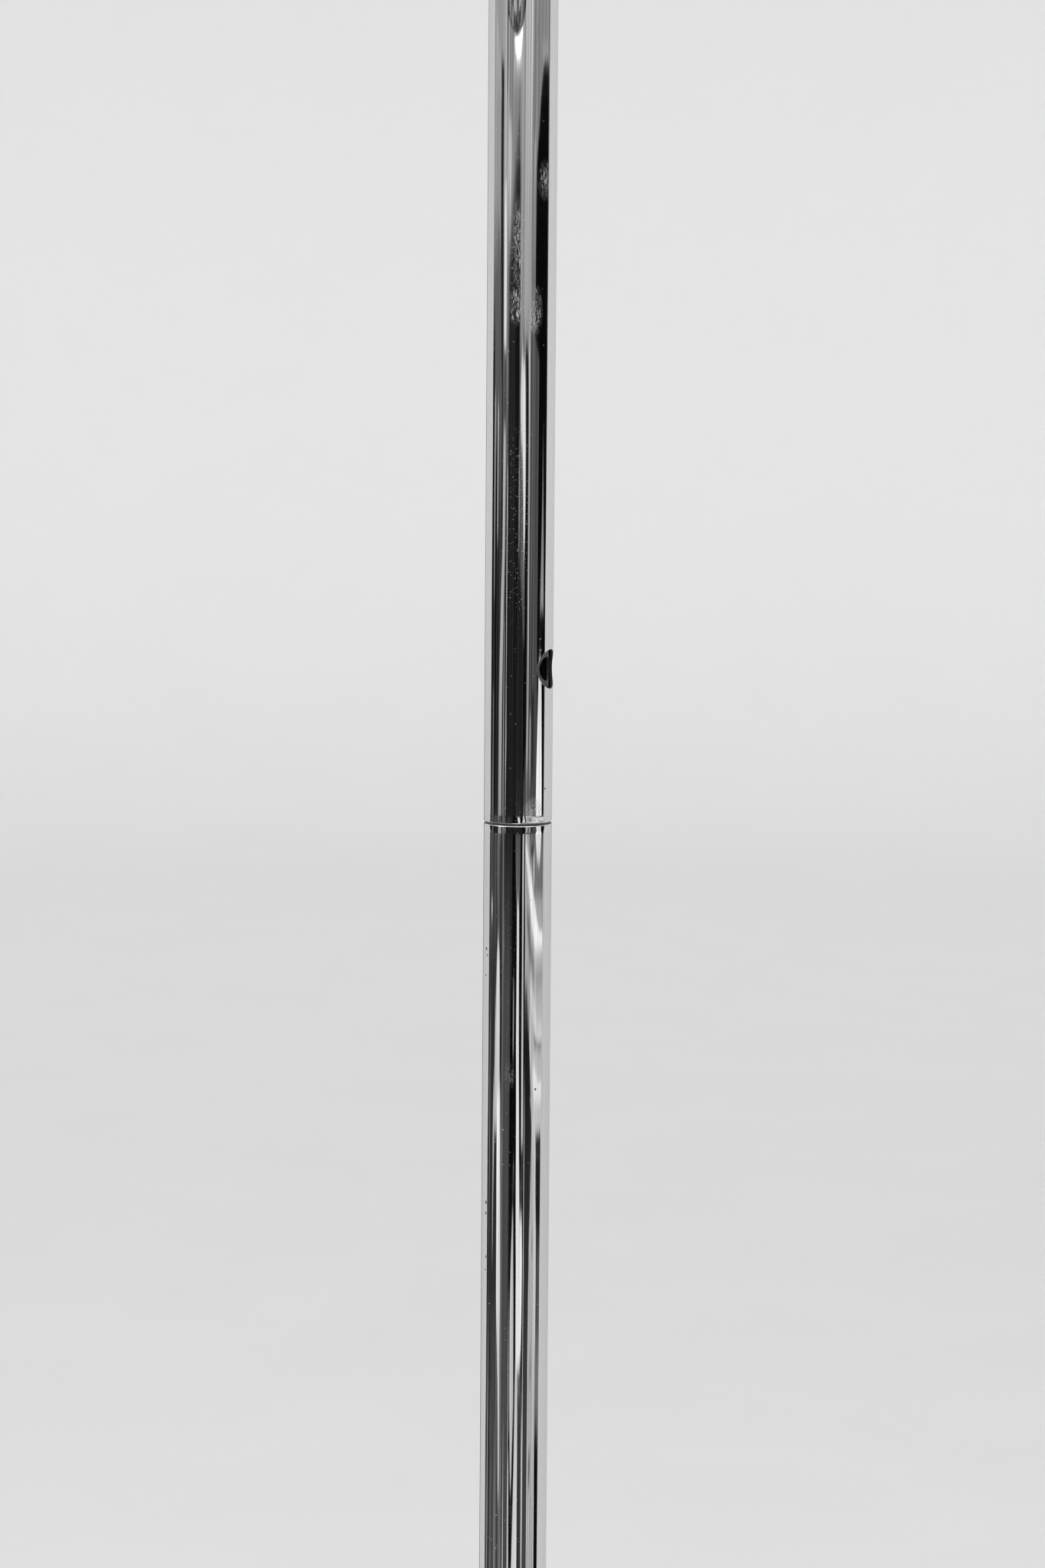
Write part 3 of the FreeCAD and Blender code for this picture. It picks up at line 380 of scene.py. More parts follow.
class Turned:
    """A turned solid: its mesh and the exact normals of its surface."""

    def __init__(self, points, arcs=None, at=(0, 0, 0), axis=(0, 0, 1), ease=0.0, segments=128,
                 step=5.0, max_len=None, ripple=None, paint=None):
        self.m = Matrix.Translation(Vector(at)) @ turn_from(axis)
        self.inv = self.m.inverted()
        runs = softened(sides_of([tuple(q) for q in points], arcs or {}, step, max_len), ease)
        if not ease:
            runs = list(enumerate(runs))
        self.runs = [(i, r) for i, r in runs if r]
        self.segments = segments
        self.ripple = ripple
        self.paint = paint or {}
        # ordered rings round the profile
        self.rings = []
        for i, run in self.runs:
            for q in run:
                if self.rings and (Vector(self.rings[-1][:2]) - Vector(q[:2])).length < 1e-6:
                    continue
                self.rings.append(q[:2])
        if (Vector(self.rings[-1]) - Vector(self.rings[0])).length < 1e-6:
            self.rings.pop()
        self.open = self.rings[0][0] < 1e-6 and self.rings[-1][0] < 1e-6
        self.known = {}

    def build(self, bm):
        n = self.segments
        verts = []
        for r, z in self.rings:
            if r < 1e-6:
                verts.append([bm.verts.new(self.m @ Vector((0, 0, z)))])
                continue
            ring = []
            for j in range(n):
                t = 2 * math.pi * j / n
                rr = r if self.ripple is None else self.ripple(t, r, z)
                ring.append(bm.verts.new(self.m @ Vector((rr * math.cos(t), rr * math.sin(t), z))))
            verts.append(ring)
        pairs = list(zip(verts, verts[1:]))
        if not self.open:
            pairs.append((verts[-1], verts[0]))
        for a, b in pairs:
            if len(a) == 1 and len(b) == 1:
                continue
            for j in range(n):
                k = (j + 1) % n
                if len(a) == 1:
                    quad = [a[0], b[k], b[j]]
                elif len(b) == 1:
                    quad = [a[j], a[k], b[0]]
                else:
                    quad = [a[j], a[k], b[k], b[j]]
                bm.faces.new(quad)

    def segment(self, rc, zc, fr, fz, tol):
        """The profile segment that a face at (rc, zc) lies on."""
        best = None
        for i, run in self.runs:
            for a, b in zip(run, run[1:]):
                dx, dz = b[0] - a[0], b[1] - a[1]
                ll = dx * dx + dz * dz
                if ll < 1e-12:
                    continue
                t = ((rc - a[0]) * dx + (zc - a[1]) * dz) / ll
                if not -0.02 <= t <= 1.02:
                    continue
                off = abs((rc - a[0]) * dz - (zc - a[1]) * dx) / math.sqrt(ll)
                if off > tol:
                    continue
                nr, nz = (a[2] + b[2]) / 2, (a[3] + b[3]) / 2
                if nr * fr + nz * fz < 0.8 * math.hypot(nr, nz):
                    continue
                if best is None or off < best[0]:
                    best = (off, i, a, b, ll)
        return best

    def normals(self, centre, flat, corners, tol):
        """(corner normals, paint) of a face on this surface, or None."""
        q = [self.inv @ c for c in corners]
        c = self.inv @ centre
        f = self.inv.to_3x3() @ flat
        rc = math.hypot(c.x, c.y)
        radial = (c.x / rc, c.y / rc) if rc > 1e-9 else (0.0, 0.0)
        fr = f.x * radial[0] + f.y * radial[1]
        key = (round(rc, 3), round(c.z, 3), round(fr, 2), round(f.z, 2))
        if key in self.known:
            best = self.known[key]
        else:
            best = self.known[key] = self.segment(rc, c.z, fr, f.z, tol)
        if best is None:
            return None
        _, i, a, b, ll = best
        out = []
        for v in q:
            rv = math.hypot(v.x, v.y)
            t = ((rv - a[0]) * (b[0] - a[0]) + (v.z - a[1]) * (b[1] - a[1])) / ll
            t = min(max(t, 0.0), 1.0)
            nr, nz = a[2] * (1 - t) + b[2] * t, a[3] * (1 - t) + b[3] * t
            ux, uy = (v.x / rv, v.y / rv) if rv > 1e-6 else radial
            m = Vector((ux * nr, uy * nr, nz)).normalized()
            out.append(self.m.to_3x3() @ m)
        return out, self.paint.get(i, 0)


class Bore:
    """A round hole or pin: base point, direction, radius, length, in mm."""

    def __init__(self, base, along, radius, length, segments=64, wall=-1.0):
        self.base, self.along = Vector(base), Vector(along).normalized()
        self.radius, self.length, self.segments, self.wall = radius, length, segments, wall

    def build(self, bm):
        m = Matrix.Translation(self.base) @ Vector((0, 0, 1)).rotation_difference(self.along).to_matrix().to_4x4()
        low, high = [], []
        for j in range(self.segments):
            t = 2 * math.pi * (j + 0.5) / self.segments
            x, y = self.radius * math.cos(t), self.radius * math.sin(t)
            low.append(bm.verts.new(m @ Vector((x, y, 0))))
            high.append(bm.verts.new(m @ Vector((x, y, self.length))))
        for j in range(self.segments):
            k = (j + 1) % self.segments
            bm.faces.new([low[j], low[k], high[k], high[j]])
        bm.faces.new(list(reversed(low)))
        bm.faces.new(high)

    def normals(self, centre, flat, corners, tol):
        if abs(flat.dot(self.along)) > 0.25:
            return None
        out = []
        for v in corners:
            d = v - self.base
            radial = d - self.along * d.dot(self.along)
            if abs(radial.length - self.radius) > tol + 0.02:
                return None
            out.append(radial.normalized() * self.wall)
        if out[0].dot(flat) < 0.5:
            return None
        return out, 0


class Block:
    """A plain box or prism as a cutter or a lump; its faces stay flat."""

    def __init__(self, low=None, high=None, outline=None, along="x", reach=None):
        self.low, self.high, self.outline, self.along, self.reach = low, high, outline, along, reach

    def build(self, bm):
        if self.outline is not None:
            put = {
                "x": lambda u, v, w: (w, u, v),
                "y": lambda u, v, w: (u, w, v),
                "z": lambda u, v, w: (u, v, w),
            }[self.along]
            a = [bm.verts.new(put(u, v, self.reach[0])) for u, v in self.outline]
            b = [bm.verts.new(put(u, v, self.reach[1])) for u, v in self.outline]
            n = len(a)
            for j in range(n):
                k = (j + 1) % n
                bm.faces.new([a[j], a[k], b[k], b[j]])
            bm.faces.new(list(reversed(a)))
            bm.faces.new(b)
            return
        (x0, y0, z0), (x1, y1, z1) = self.low, self.high
        v = [bm.verts.new((x, y, z)) for x in (x0, x1) for y in (y0, y1) for z in (z0, z1)]
        for f in ((0, 1, 3, 2), (4, 6, 7, 5), (0, 4, 5, 1), (2, 3, 7, 6), (0, 2, 6, 4), (1, 5, 7, 3)):
            bm.faces.new([v[i] for i in f])

    def normals(self, centre, flat, corners, tol):
        return None


def solid(shape, name):
    """A mesh object of one shape, its faces turned outward."""
    bm = bmesh.new()
    shape.build(bm)
    bmesh.ops.recalc_face_normals(bm, faces=bm.faces)
    if bm.calc_volume(signed=True) < 0:
        bmesh.ops.reverse_faces(bm, faces=bm.faces)
    me = bpy.data.meshes.new(name)
    bm.to_mesh(me)
    bm.free()
    ob = bpy.data.objects.new(name, me)
    scene.collection.objects.link(ob)
    return ob


def worked(ob, tools, how):
    """Applies one exact boolean after another to ob."""
    for t in tools:
        cutter = solid(t, "tool")
        mod = ob.modifiers.new("op", "BOOLEAN")
        mod.operation = how
        mod.solver = "EXACT"
        mod.object = cutter
        bpy.context.view_layer.update()
        dg = bpy.context.evaluated_depsgraph_get()
        me = bpy.data.meshes.new_from_object(ob.evaluated_get(dg), depsgraph=dg)
        ob.modifiers.clear()
        old, ob.data = ob.data, me
        bpy.data.meshes.remove(old)
        tool_mesh = cutter.data
        bpy.data.objects.remove(cutter)
        bpy.data.meshes.remove(tool_mesh)
    return ob


def finished(ob, name, surfaces, mats, body, node, tol=0.03, crisp=None):
    """Exact normals, materials, scale to metres, and its place on the frame."""
    me = ob.data
    me.name = ob.name = name
    bm = bmesh.new()
    bm.from_mesh(me)
    bmesh.ops.remove_doubles(bm, verts=bm.verts, dist=1e-4)
    bmesh.ops.dissolve_degenerate(bm, edges=bm.edges, dist=1e-5)
    bm.to_mesh(me)
    bm.free()
    co = [v.co.copy() for v in me.vertices]
    per_loop = [None] * len(me.loops)
    for poly in me.polygons:
        ids = list(poly.vertices)
        corners = [co[i] for i in ids]
        found = None
        for s in surfaces:
            found = s.normals(poly.center, poly.normal, corners, tol)
            if found:
                break
        if found:
            vectors, paint = found
            poly.material_index = min(paint, len(mats) - 1)
        else:
            vectors = [poly.normal.copy()] * len(ids)
        poly.use_smooth = True
        for li, v in zip(poly.loop_indices, vectors):
            per_loop[li] = v
    if crisp is None:
        me.normals_split_custom_set([tuple(v) for v in per_loop])
    else:
        me.set_sharp_from_angle(angle=math.radians(crisp))
    me.transform(Matrix.Scale(MM, 4))
    me.materials.clear()
    for m in mats:
        me.materials.append(m)
    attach(ob, body)
    if node:
        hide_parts(node)
    return ob


def piece(node, shape, body, mats, cuts=(), adds=(), tol=0.03, crisp=None):
    """One finished piece that stands for a CAD node."""
    ob = solid(shape, node + "_fine")
    worked(ob, adds, "UNION")
    worked(ob, cuts, "DIFFERENCE")
    surfaces = [shape, *adds, *cuts]
    mats = mats if isinstance(mats, (list, tuple)) else [mats]
    return finished(ob, node + "_fine", surfaces, list(mats), body, node, tol, crisp)


def drilled_tube(node, inner, outer, low, high, hole_z, hole_r, edge, rim_low, body, mat, hole_shade_mat, n=192):
    """A tube with one round hole on its +X side, its rim eased and its hole's
    edge rolled over, all with exact normals."""
    bm = bmesh.new()
    made, vectors = {}, {}

    def vert(key, co):
        if key not in made:
            made[key] = bm.verts.new(co)
        return made[key]

    def face(keys, cos, norms, paint=0):
        f = bm.faces.new([vert(k, c) for k, c in zip(keys, cos)])
        f.material_index = paint
        vectors[f] = dict(zip([made[k] for k in keys], norms))

    half = n // 8  # the patch spans 45 degrees each side of +X
    reach = hole_r + 3.0
    steps = 24
    patch_z = [hole_z - reach + 2 * reach * i / steps for i in range(steps + 1)]
    below = [low + rim_low + (hole_z - reach - low - rim_low) * i / 8 for i in range(8)]
    above = [hole_z + reach + (high - hole_z - reach) * i / 24 for i in range(1, 25)]
    rows = below + patch_z + above

    def ang(j):
        return 2 * math.pi * j / n

    def spot(r, t, z):
        return Vector((r * math.cos(t), r * math.sin(t), z))

    for r, sign in ((outer, 1.0), (inner, -1.0)):
        tag = "o" if sign > 0 else "i"
        for row, (z0, z1) in enumerate(zip(rows, rows[1:])):
            in_patch = z0 >= patch_z[0] - 1e-6 and z1 <= patch_z[-1] + 1e-6
            for j in range(-n // 2, n // 2):
                if in_patch and -half <= j < half:
                    continue
                quad = [(j, z0), (j + 1, z0), (j + 1, z1), (j, z1)]
                if sign < 0:
                    quad.reverse()
                keys = [(tag, q[0] % n, round(q[1], 4)) for q in quad]
                cos = [spot(r, ang(q[0]), q[1]) for q in quad]
                face(keys, cos, [spot(sign, ang(q[0]), 0) for q in quad])
        # boundary of the patch, counter-clockwise seen from +X
        edge_pts = [(j, patch_z[0]) for j in range(-half, half)]
        edge_pts += [(half, z) for z in patch_z[:-1]]
        edge_pts += [(j, patch_z[-1]) for j in range(half, -half, -1)]
        edge_pts += [(-half, z) for z in reversed(patch_z[1:])]
        count = len(edge_pts)
        ease = edge if sign > 0 else 0.1
        turns = []
        for j, z in edge_pts:
            turns.append(math.atan2((z - hole_z) / reach, ang(j) / ang(half)))
        rings = []
        for ring in range(7):
            share = ring / 6
            line = []
            for (j, z), t in zip(edge_pts, turns):
                y, w = (hole_r + ease) * math.cos(t), (hole_r + ease) * math.sin(t)
                th = math.asin(y / r)
                th = th + (ang(j) - th) * share
                zz = hole_z + w + (z - hole_z - w) * share
                line.append((th, zz))
            rings.append(line)
        for ring in range(6):
            for q in range(count):
                q2 = (q + 1) % count
                pts = [(ring, q), (ring + 1, q), (ring + 1, q2), (ring, q2)]
                if sign < 0:
                    pts.reverse()
                keys, cos, norms = [], [], []
                for a, b in pts:
                    th, zz = rings[a][b]
                    if a == 6:
                        keys.append((tag, edge_pts[b][0] % n, round(edge_pts[b][1], 4)))
                    else:
                        keys.append((tag, "ring", a, b))
                    cos.append(spot(r, th, zz))
                    norms.append(spot(sign, th, 0))
                face(keys, cos, norms)
        # rolled edge, from the surface down to the wall of the hole
        bends = 5 if sign > 0 else 2
        roll = []
        for k in range(bends + 1):
            al = math.pi / 2 * (1 - k / bends)
            line = []
            for t in turns:
                hr = hole_r + ease * (1 - math.cos(al))
                pr = r - sign * ease * (1 - math.sin(al))
                y, w = hr * math.cos(t), hr * math.sin(t)
                x = math.sqrt(pr * pr - y * y)
                inward = Vector((0, -math.cos(t), -math.sin(t)))
                out = Vector((x, y, 0)) / pr * sign
                line.append((Vector((x, y, hole_z + w)), (inward * math.cos(al) + out * math.sin(al)).normalized()))
            roll.append(line)
        for k in range(bends):
            for q in range(count):
                q2 = (q + 1) % count
                pts = [(k + 1, q), (k, q), (k, q2), (k + 1, q2)]
                if sign < 0:
                    pts.reverse()
                keys = [(tag, "ring", 0, b) if a == 0 else (tag, "roll", a, b) for a, b in pts]
                # beyond the first two bends of the outer roll, and on all of the inner roll, faces take the second
                # slot: near-black painted shade inside the hole
                face(keys, [roll[a][b][0] for a, b in pts], [roll[a][b][1] for a, b in pts], 0 if sign > 0 and k < 2 else 1)
        if sign > 0:
            wall_out, last_out = roll[-1], bends
        else:
            wall_in, last_in = roll[-1], bends
    for q in range(count):
        q2 = (q + 1) % count
        ends = [("o", last_out, q), ("o", last_out, q2), ("i", last_in, q2), ("i", last_in, q)]
        cos = [wall_out[q][0], wall_out[q2][0], wall_in[q2][0], wall_in[q][0]]
        norms = [wall_out[q][1], wall_out[q2][1], wall_in[q2][1], wall_in[q][1]]
        # the hole's wall takes the second slot, near-black painted shade
        face([(a, "roll", k, b) for a, k, b in ends], cos, norms, 1)

    def lathe_band(profile):
        for a, b in zip(profile, profile[1:]):
            for j in range(n):
                quad = [(a, j), (a, j + 1), (b, j + 1), (b, j)]
                keys = [(p[4], k % n, round(p[1], 4)) for p, k in quad]
                cos = [spot(p[0], ang(k), p[1]) for p, k in quad]
                face(keys, cos, [spot(p[2], ang(k), p[3]) for p, k in quad])

    # lower rim rolled over, inside corner and upper end plain
    band = [(inner, low, 0, -1, "e"), (outer - rim_low, low, 0, -1, "e2")]
    for k in range(1, 7):
        t = math.pi / 2 * k / 6
        tag = "o" if k == 6 else "e%d" % (k + 2)
        place = (outer - rim_low + rim_low * math.sin(t), low + rim_low * (1 - math.cos(t)))
        band.append((*place, math.sin(t), -math.cos(t), tag))
    lathe_band(band)
    lathe_band([(inner, rows[0], -1, 0, "i"), (inner, low, -1, 0, "e")])
    lathe_band([(outer, high, 0, 1, "o"), (inner, high, 0, 1, "i")])
    bm.normal_update()
    bm.verts.index_update()
    flat = []
    for f in bm.faces:
        if f.normal.dot(sum(vectors[f].values(), Vector())) < 0:
            f.normal_flip()
        for v in f.verts:
            flat.append(tuple(vectors[f][v].normalized()))
    me = bpy.data.meshes.new(node + "_fine")
    bm.to_mesh(me)
    bm.free()
    for poly in me.polygons:
        poly.use_smooth = True
    me.normals_split_custom_set(flat)
    me.transform(Matrix.Scale(MM, 4))
    me.materials.append(mat)
    me.materials.append(hole_shade_mat)
    ob = bpy.data.objects.new(node + "_fine", me)
    scene.collection.objects.link(ob)
    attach(ob, body)
    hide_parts(node)
    return ob


# --------------------------------------------------------------- the finish
def pole_marks(k, rough, marks, pit, colour):
    """Wear that belongs to the pole: smears, scuffs at the seam, rust pits."""
    p = k.p

    def around(deg, z, out=12.5):
        a = math.radians(VIEW_AZIMUTH + deg)
        return (out * math.sin(a), -out * math.cos(a), z)

    wisp = k.noise(p, 1.0, 6.0, 0.78, warp=1.6, stretch=(1.5, 1.5, 0.30))
    wisps = k.span(wisp, 0.50, 0.66)
    smear = k.any_of(
        k.near(around(-9, 1088), (3.2, 3.2, 8.5)),
        k.near(around(22, 1086.5), (4.0, 4.0, 10.5)),
        k.math("MULTIPLY", k.near(around(41, 1133), (3.4, 3.4, 8.5)), 0.75),
        k.math("MULTIPLY", k.near(around(-7, 1109), (2.6, 2.6, 20.0)), 0.6),
        k.math("MULTIPLY", k.near(around(28, 905.5), (4.2, 4.2, 6.0)), 0.7),
        k.math("MULTIPLY", k.near(around(-12, 808), (2.4, 2.4, 7.0)), 0.5),
        k.math("MULTIPLY", k.near(around(150, 1210), (4.4, 4.4, 16.0)), 0.5),
        k.math("MULTIPLY", k.near(around(-140, 640), (4.4, 4.4, 16.0)), 0.5),
    )
    smears = k.all_of(smear, wisps, 0.75)
    # a band of fine pinpricks in the plate, below the smears
    prick = k.any_of(k.specks(1.9, 0.24, 0.30), k.specks(0.8, 0.16, 0.22))
    pricked = k.any_of(
        k.near(around(-6, 1010), (7.5, 7.5, 52.0)),
        k.math("MULTIPLY", k.near(around(-4, 1105), (5.5, 5.5, 30.0)), 0.9),
        k.math("MULTIPLY", k.near(around(-14, 850), (5.5, 5.5, 40.0)), 0.4),
    )
    pricks = k.all_of(prick, k.span(pricked, 0.0, 0.8), 0.55)
    marks = k.any_of(marks, smears, pricks)
    rough = k.math("ADD", rough, k.math("MULTIPLY", k.math("MULTIPLY", smear, k.span(wisp, 0.40, 0.6)), 0.14))
    spots = [
        (-63.3, 853.9, 0.55), (-60.5, 851.6, 0.38), (-64.8, 844.0, 0.4), (-59.3, 759.3, 0.6),
        (-59.8, 755.2, 0.5), (-58.1, 738.8, 0.45), (-60.1, 733.9, 0.35), (52.0, 913.4, 0.35),
        (35.0, 802.5, 0.35), (118.0, 690.0, 0.5), (121.0, 1240.0, 0.45), (-150.0, 1010.0, 0.5),
    ]
    for deg, z, size in spots:
        pit = k.any_of(pit, k.near(around(deg, z), (size * 1.4, size * 1.4, size * 1.6)))
    return rough, marks, pit, colour


def spun(cx, cy, per_mm=1.2):
    """Faint lathe lines of spun sheet, round a vertical axis."""

    def extra(k, rough, marks, pit, colour):
        off = k.vmath("SUBTRACT", k.p, (cx, cy, 0))
        flat = k.vmath("MULTIPLY", off, (1, 1, 0))
        r = k.vmath("LENGTH", flat)
        z = k.node("SeparateXYZ", {0: off}, 2)
        line = k.node("CombineXYZ", {0: r, 1: z, 2: 0.0})
        n = k.noise(line, per_mm, 3.0, 0.7)
        rough = k.math("ADD", rough, k.span(n, 0.5, 0.8, 0.0, 0.10))
        colour = k.mix(k.span(n, 0.3, 0.75), colour, (0.69, 0.69, 0.69))
        return rough, marks, pit, colour

    return extra


EDGE_TINT = (0.86, 0.86, 0.86, 1.0)
pole_chrome = chrome("pole_chrome_worn", extra=pole_marks, dust=0.35, seam=900.4)
fitting_chrome = chrome("fitting_chrome_worn", polish=0.06, wave=0.10, haze=0.8, dust=0.5, pits=0.5)
base_chrome = chrome("base_chrome_worn", polish=0.07, wave=0.25, haze=1.0, dust=0.9, pits=0.6, extra=spun(0, 0, 0.9))
shade_chrome = chrome("shade_chrome_worn", polish=0.06, wave=0.25, haze=0.9, dust=0.6, pits=0.4, extra=spun(0, -220, 0.9))
for plated in (pole_chrome, fitting_chrome, base_chrome, shade_chrome):
    plated.node_tree.nodes["Principled BSDF"].inputs["Specular Tint"].default_value = EDGE_TINT


def enamel(name, base, rough=0.28, peel=0.6, age=0.06):
    k = Look(name)
    n = k.noise(k.p, 0.45, 2.0, 0.5)
    stain = k.noise(k.p, 0.02, 4.0, 0.6)
    dark = tuple(c * (1 - age) for c in base)
    colour = k.mix(k.span(stain, 0.35, 0.7), base, dark)
    speck = k.specks(0.35, 0.10, 0.12)
    colour = k.mix(k.math("MULTIPLY", speck, 0.6), colour, tuple(c * 0.35 for c in base))
    k.give(base_color=colour, roughness=k.span(stain, 0.3, 0.7, rough, rough + 0.12),
           normal=k.bump(n, 0.02 * peel))
    k.bsdf.inputs["Coat Weight"].default_value = 0.35
    k.bsdf.inputs["Coat Roughness"].default_value = 0.12
    return k.mat


white_enamel = enamel("white_enamel_inside", (0.82, 0.815, 0.79))


def make_black_enamel():
    k = Look("black_enamel_worn")
    hair = k.noise(k.p, 1.0, 4.0, 0.75, stretch=(3.0, 3.0, 0.012))
    worn = k.span(hair, 0.66, 0.78)
    cloud = k.span(k.noise(k.p, 0.03, 3.0, 0.6), 0.4, 0.7)
    worn = k.math("MULTIPLY", worn, cloud)
    colour = k.mix(worn, (0.014, 0.014, 0.015), (0.42, 0.42, 0.42))
    k.give(base_color=colour, metallic=k.math("MULTIPLY", worn, 0.9),
           roughness=k.span(cloud, 0, 1, 0.24, 0.40), normal=k.bump(hair, 0.004))
    k.bsdf.inputs["Coat Weight"].default_value = 0.3
    k.bsdf.inputs["Coat Roughness"].default_value = 0.15
    return k.mat


def metal(name, base, rough, metallic=1.0, mottle=0.25, grain=1.5, stretch=None, depth=0.01, spots=None):
    k = Look(name)
    n = k.noise(k.p, 0.25, 4.0, 0.6)
    g = k.noise(k.p, grain, 3.0, 0.65, stretch=stretch)
    low = tuple(c * (1 - mottle) for c in base)
    high = tuple(min(1, c * (1 + mottle * 0.6)) for c in base)
    colour = k.mix(k.span(n, 0.3, 0.7), low, high)
    if spots is not None:
        colour = k.mix(k.specks(0.5, 0.30, 0.25), colour, spots)
    k.give(base_color=colour, metallic=metallic, roughness=k.span(g, 0.3, 0.7, rough * 0.8, rough * 1.25),
           normal=k.bump(g, depth))
    return k.mat


def make_iron():
    k = Look("cast_iron_painted")
    lump = k.noise(k.p, 0.16, 5.0, 0.65)
    sand = k.noise(k.p, 1.7, 4.0, 0.7)
    chip = k.span(k.noise(k.p, 0.09, 5.0, 0.7, warp=0.6), 0.63, 0.68)
    colour = k.mix(k.span(lump, 0.3, 0.7), (0.045, 0.046, 0.048), (0.085, 0.086, 0.088))
    colour = k.mix(chip, colour, (0.14, 0.075, 0.045))
    k.give(base_color=colour, roughness=k.blend(chip, 0.55, 0.85),
           normal=k.bump(sand, 0.10, under=k.bump(lump, 0.35)))
    return k.mat


def make_felt():
    k = Look("wool_felt")
    fluff = k.noise(k.p, 2.6, 5.0, 0.8, warp=0.8)
    clump = k.noise(k.p, 0.22, 3.0, 0.6)
    fibre = k.noise(k.p, 1.0, 3.0, 0.7, warp=2.0, stretch=(4.0, 0.6, 4.0))
    colour = k.mix(k.span(clump, 0.3, 0.7), (0.030, 0.034, 0.032), (0.055, 0.060, 0.056))
    colour = k.mix(k.span(fluff, 0.55, 0.8), colour, (0.11, 0.115, 0.11))
    height = k.math("ADD", fluff, k.math("MULTIPLY", fibre, 0.6))
    k.give(base_color=colour, roughness=0.96, normal=k.bump(height, 0.22))
    k.bsdf.inputs["Sheen Weight"].default_value = 0.5
    k.bsdf.inputs["Sheen Roughness"].default_value = 0.5
    k.bsdf.inputs["Specular IOR Level"].default_value = 0.15
    return k.mat


def plastic(name, base, rough=0.3, swirl=0.5, depth=0.01, coat=0.0):
    k = Look(name)
    flow = k.noise(k.p, 0.07, 4.0, 0.6, warp=1.8)
    grain = k.noise(k.p, 1.3, 3.0, 0.6)
    high = tuple(min(1, c * (1 + swirl)) for c in base)
    colour = k.mix(k.span(flow, 0.35, 0.65), base, high)
    dust = k.math("MULTIPLY", k.specks(0.9, 0.18, 0.10), 0.35)
    colour = k.mix(dust, colour, (0.35, 0.35, 0.34))
    k.give(base_color=colour, roughness=k.span(grain, 0.3, 0.7, rough * 0.85, rough * 1.2),
           normal=k.bump(grain, depth))
    if coat:
        k.bsdf.inputs["Coat Weight"].default_value = coat
        k.bsdf.inputs["Coat Roughness"].default_value = 0.1
    return k.mat


def make_fibre():
    k = Look("vulcan_fibre")
    strand = k.noise(k.p, 1.0, 4.0, 0.75, warp=1.0, stretch=(0.8, 3.2, 3.2))
    colour = k.mix(k.span(strand, 0.3, 0.7), (0.085, 0.05, 0.038), (0.17, 0.11, 0.085))
    k.give(base_color=colour, roughness=0.7, normal=k.bump(strand, 0.03))
    return k.mat


def make_opal():
    k = Look("opal_glass")
    cloud = k.noise(k.p, 0.05, 3.0, 0.5)
    colour = k.mix(k.span(cloud, 0.3, 0.7), (0.80, 0.795, 0.78), (0.88, 0.875, 0.86))
    k.give(base_color=colour, roughness=k.span(cloud, 0.3, 0.7, 0.14, 0.22),
           normal=k.bump(k.noise(k.p, 0.12, 2.0), 0.03))
    k.bsdf.inputs["Subsurface Weight"].default_value = 0.25
    k.bsdf.inputs["Subsurface Radius"].default_value = (0.004, 0.004, 0.004)
    k.bsdf.inputs["Subsurface Scale"].default_value = 1.0
    k.bsdf.inputs["Coat Weight"].default_value = 0.5
    k.bsdf.inputs["Coat Roughness"].default_value = 0.06
    return k.mat


LOOKS = {
    "pole_chrome": pole_chrome,
    "fitting_chrome": fitting_chrome,
    "base_chrome": base_chrome,
    "shade_chrome": shade_chrome,
    "cast_weight": make_iron(),
    "felt": make_felt(),
    "zinc_steel": metal("zinc_plated_steel", (0.56, 0.57, 0.58), 0.34, mottle=0.3),
    "dark_steel": metal("blacked_steel", (0.072, 0.072, 0.075), 0.58, 0.25, mottle=0.4, grain=0.9,
                        spots=(0.16, 0.16, 0.16)),
    "black_enamel": make_black_enamel(),
    "spring_steel": metal("spring_steel", (0.36, 0.37, 0.40), 0.26, mottle=0.15, stretch=(0.4, 3, 3)),
    "acetal": plastic("acetal_natural", (0.68, 0.68, 0.66), 0.42, swirl=0.06, depth=0.006),
    "fibre": make_fibre(),
    "black_rubber": plastic("black_rubber", (0.016, 0.016, 0.017), 0.66, swirl=0.6, depth=0.03),
    "phenolic": plastic("phenolic_dark", (0.018, 0.014, 0.012), 0.20, swirl=1.0, depth=0.006, coat=0.4),
    "contact_brass": metal("brass_tarnished", (0.62, 0.45, 0.22), 0.30, mottle=0.3, spots=(0.25, 0.18, 0.11)),
    "bulb_metal": metal("bulb_aluminium", (0.74, 0.74, 0.75), 0.30, mottle=0.12, stretch=(1, 1, 4)),
    "opal_glass": make_opal(),
}

# every CAD piece takes the finish of its slot
for ob in list(scene.objects):
    if ob.type == "MESH":
        for held in ob.material_slots:
            if held.material and held.material.name.split(".")[0] in LOOKS:
                held.material = LOOKS[held.material.name.split(".")[0]]

# ---------------------------------------------------------------- the pieces
HOLE_Z, HOLE_R = 957.0, 7.15
HEAD = (0, -220, 0)
PIVOT = (0, -220, 1424)

# stand
piece("base_felt", Turned([(0, 0), (132, 0), (132, 2.5), (0, 2.5)], ease=0.9, segments=256),
      "stand", LOOKS["felt"])
piece(
    "base_cover",
    Turned([(5.5, 29), (26, 29), (135.656, 19.946), (139, 16), (139, 2), (140, 2), (140, 16),
            (135.820, 20.932), (26, 30), (5.5, 30)],
           {1: (668.556, False), 2: (4, False), 6: (5, True), 7: (669.556, True)},
           ease=0.3, segments=256, step=4),
    "stand", base_chrome, cuts=[Bore((0, 130, 9), (0, 1, 0), 5.0, 16, 48)],
)
piece(
    "foot_collar",
    Turned([(12.55, 30), (24, 30), (24, 32.5), (23, 33.5), (14.7, 48.5), (13.9, 51), (12.55, 51)],
           {3: (18, False)}, ease=0.35, segments=128, step=3),
    "stand", fitting_chrome,
)
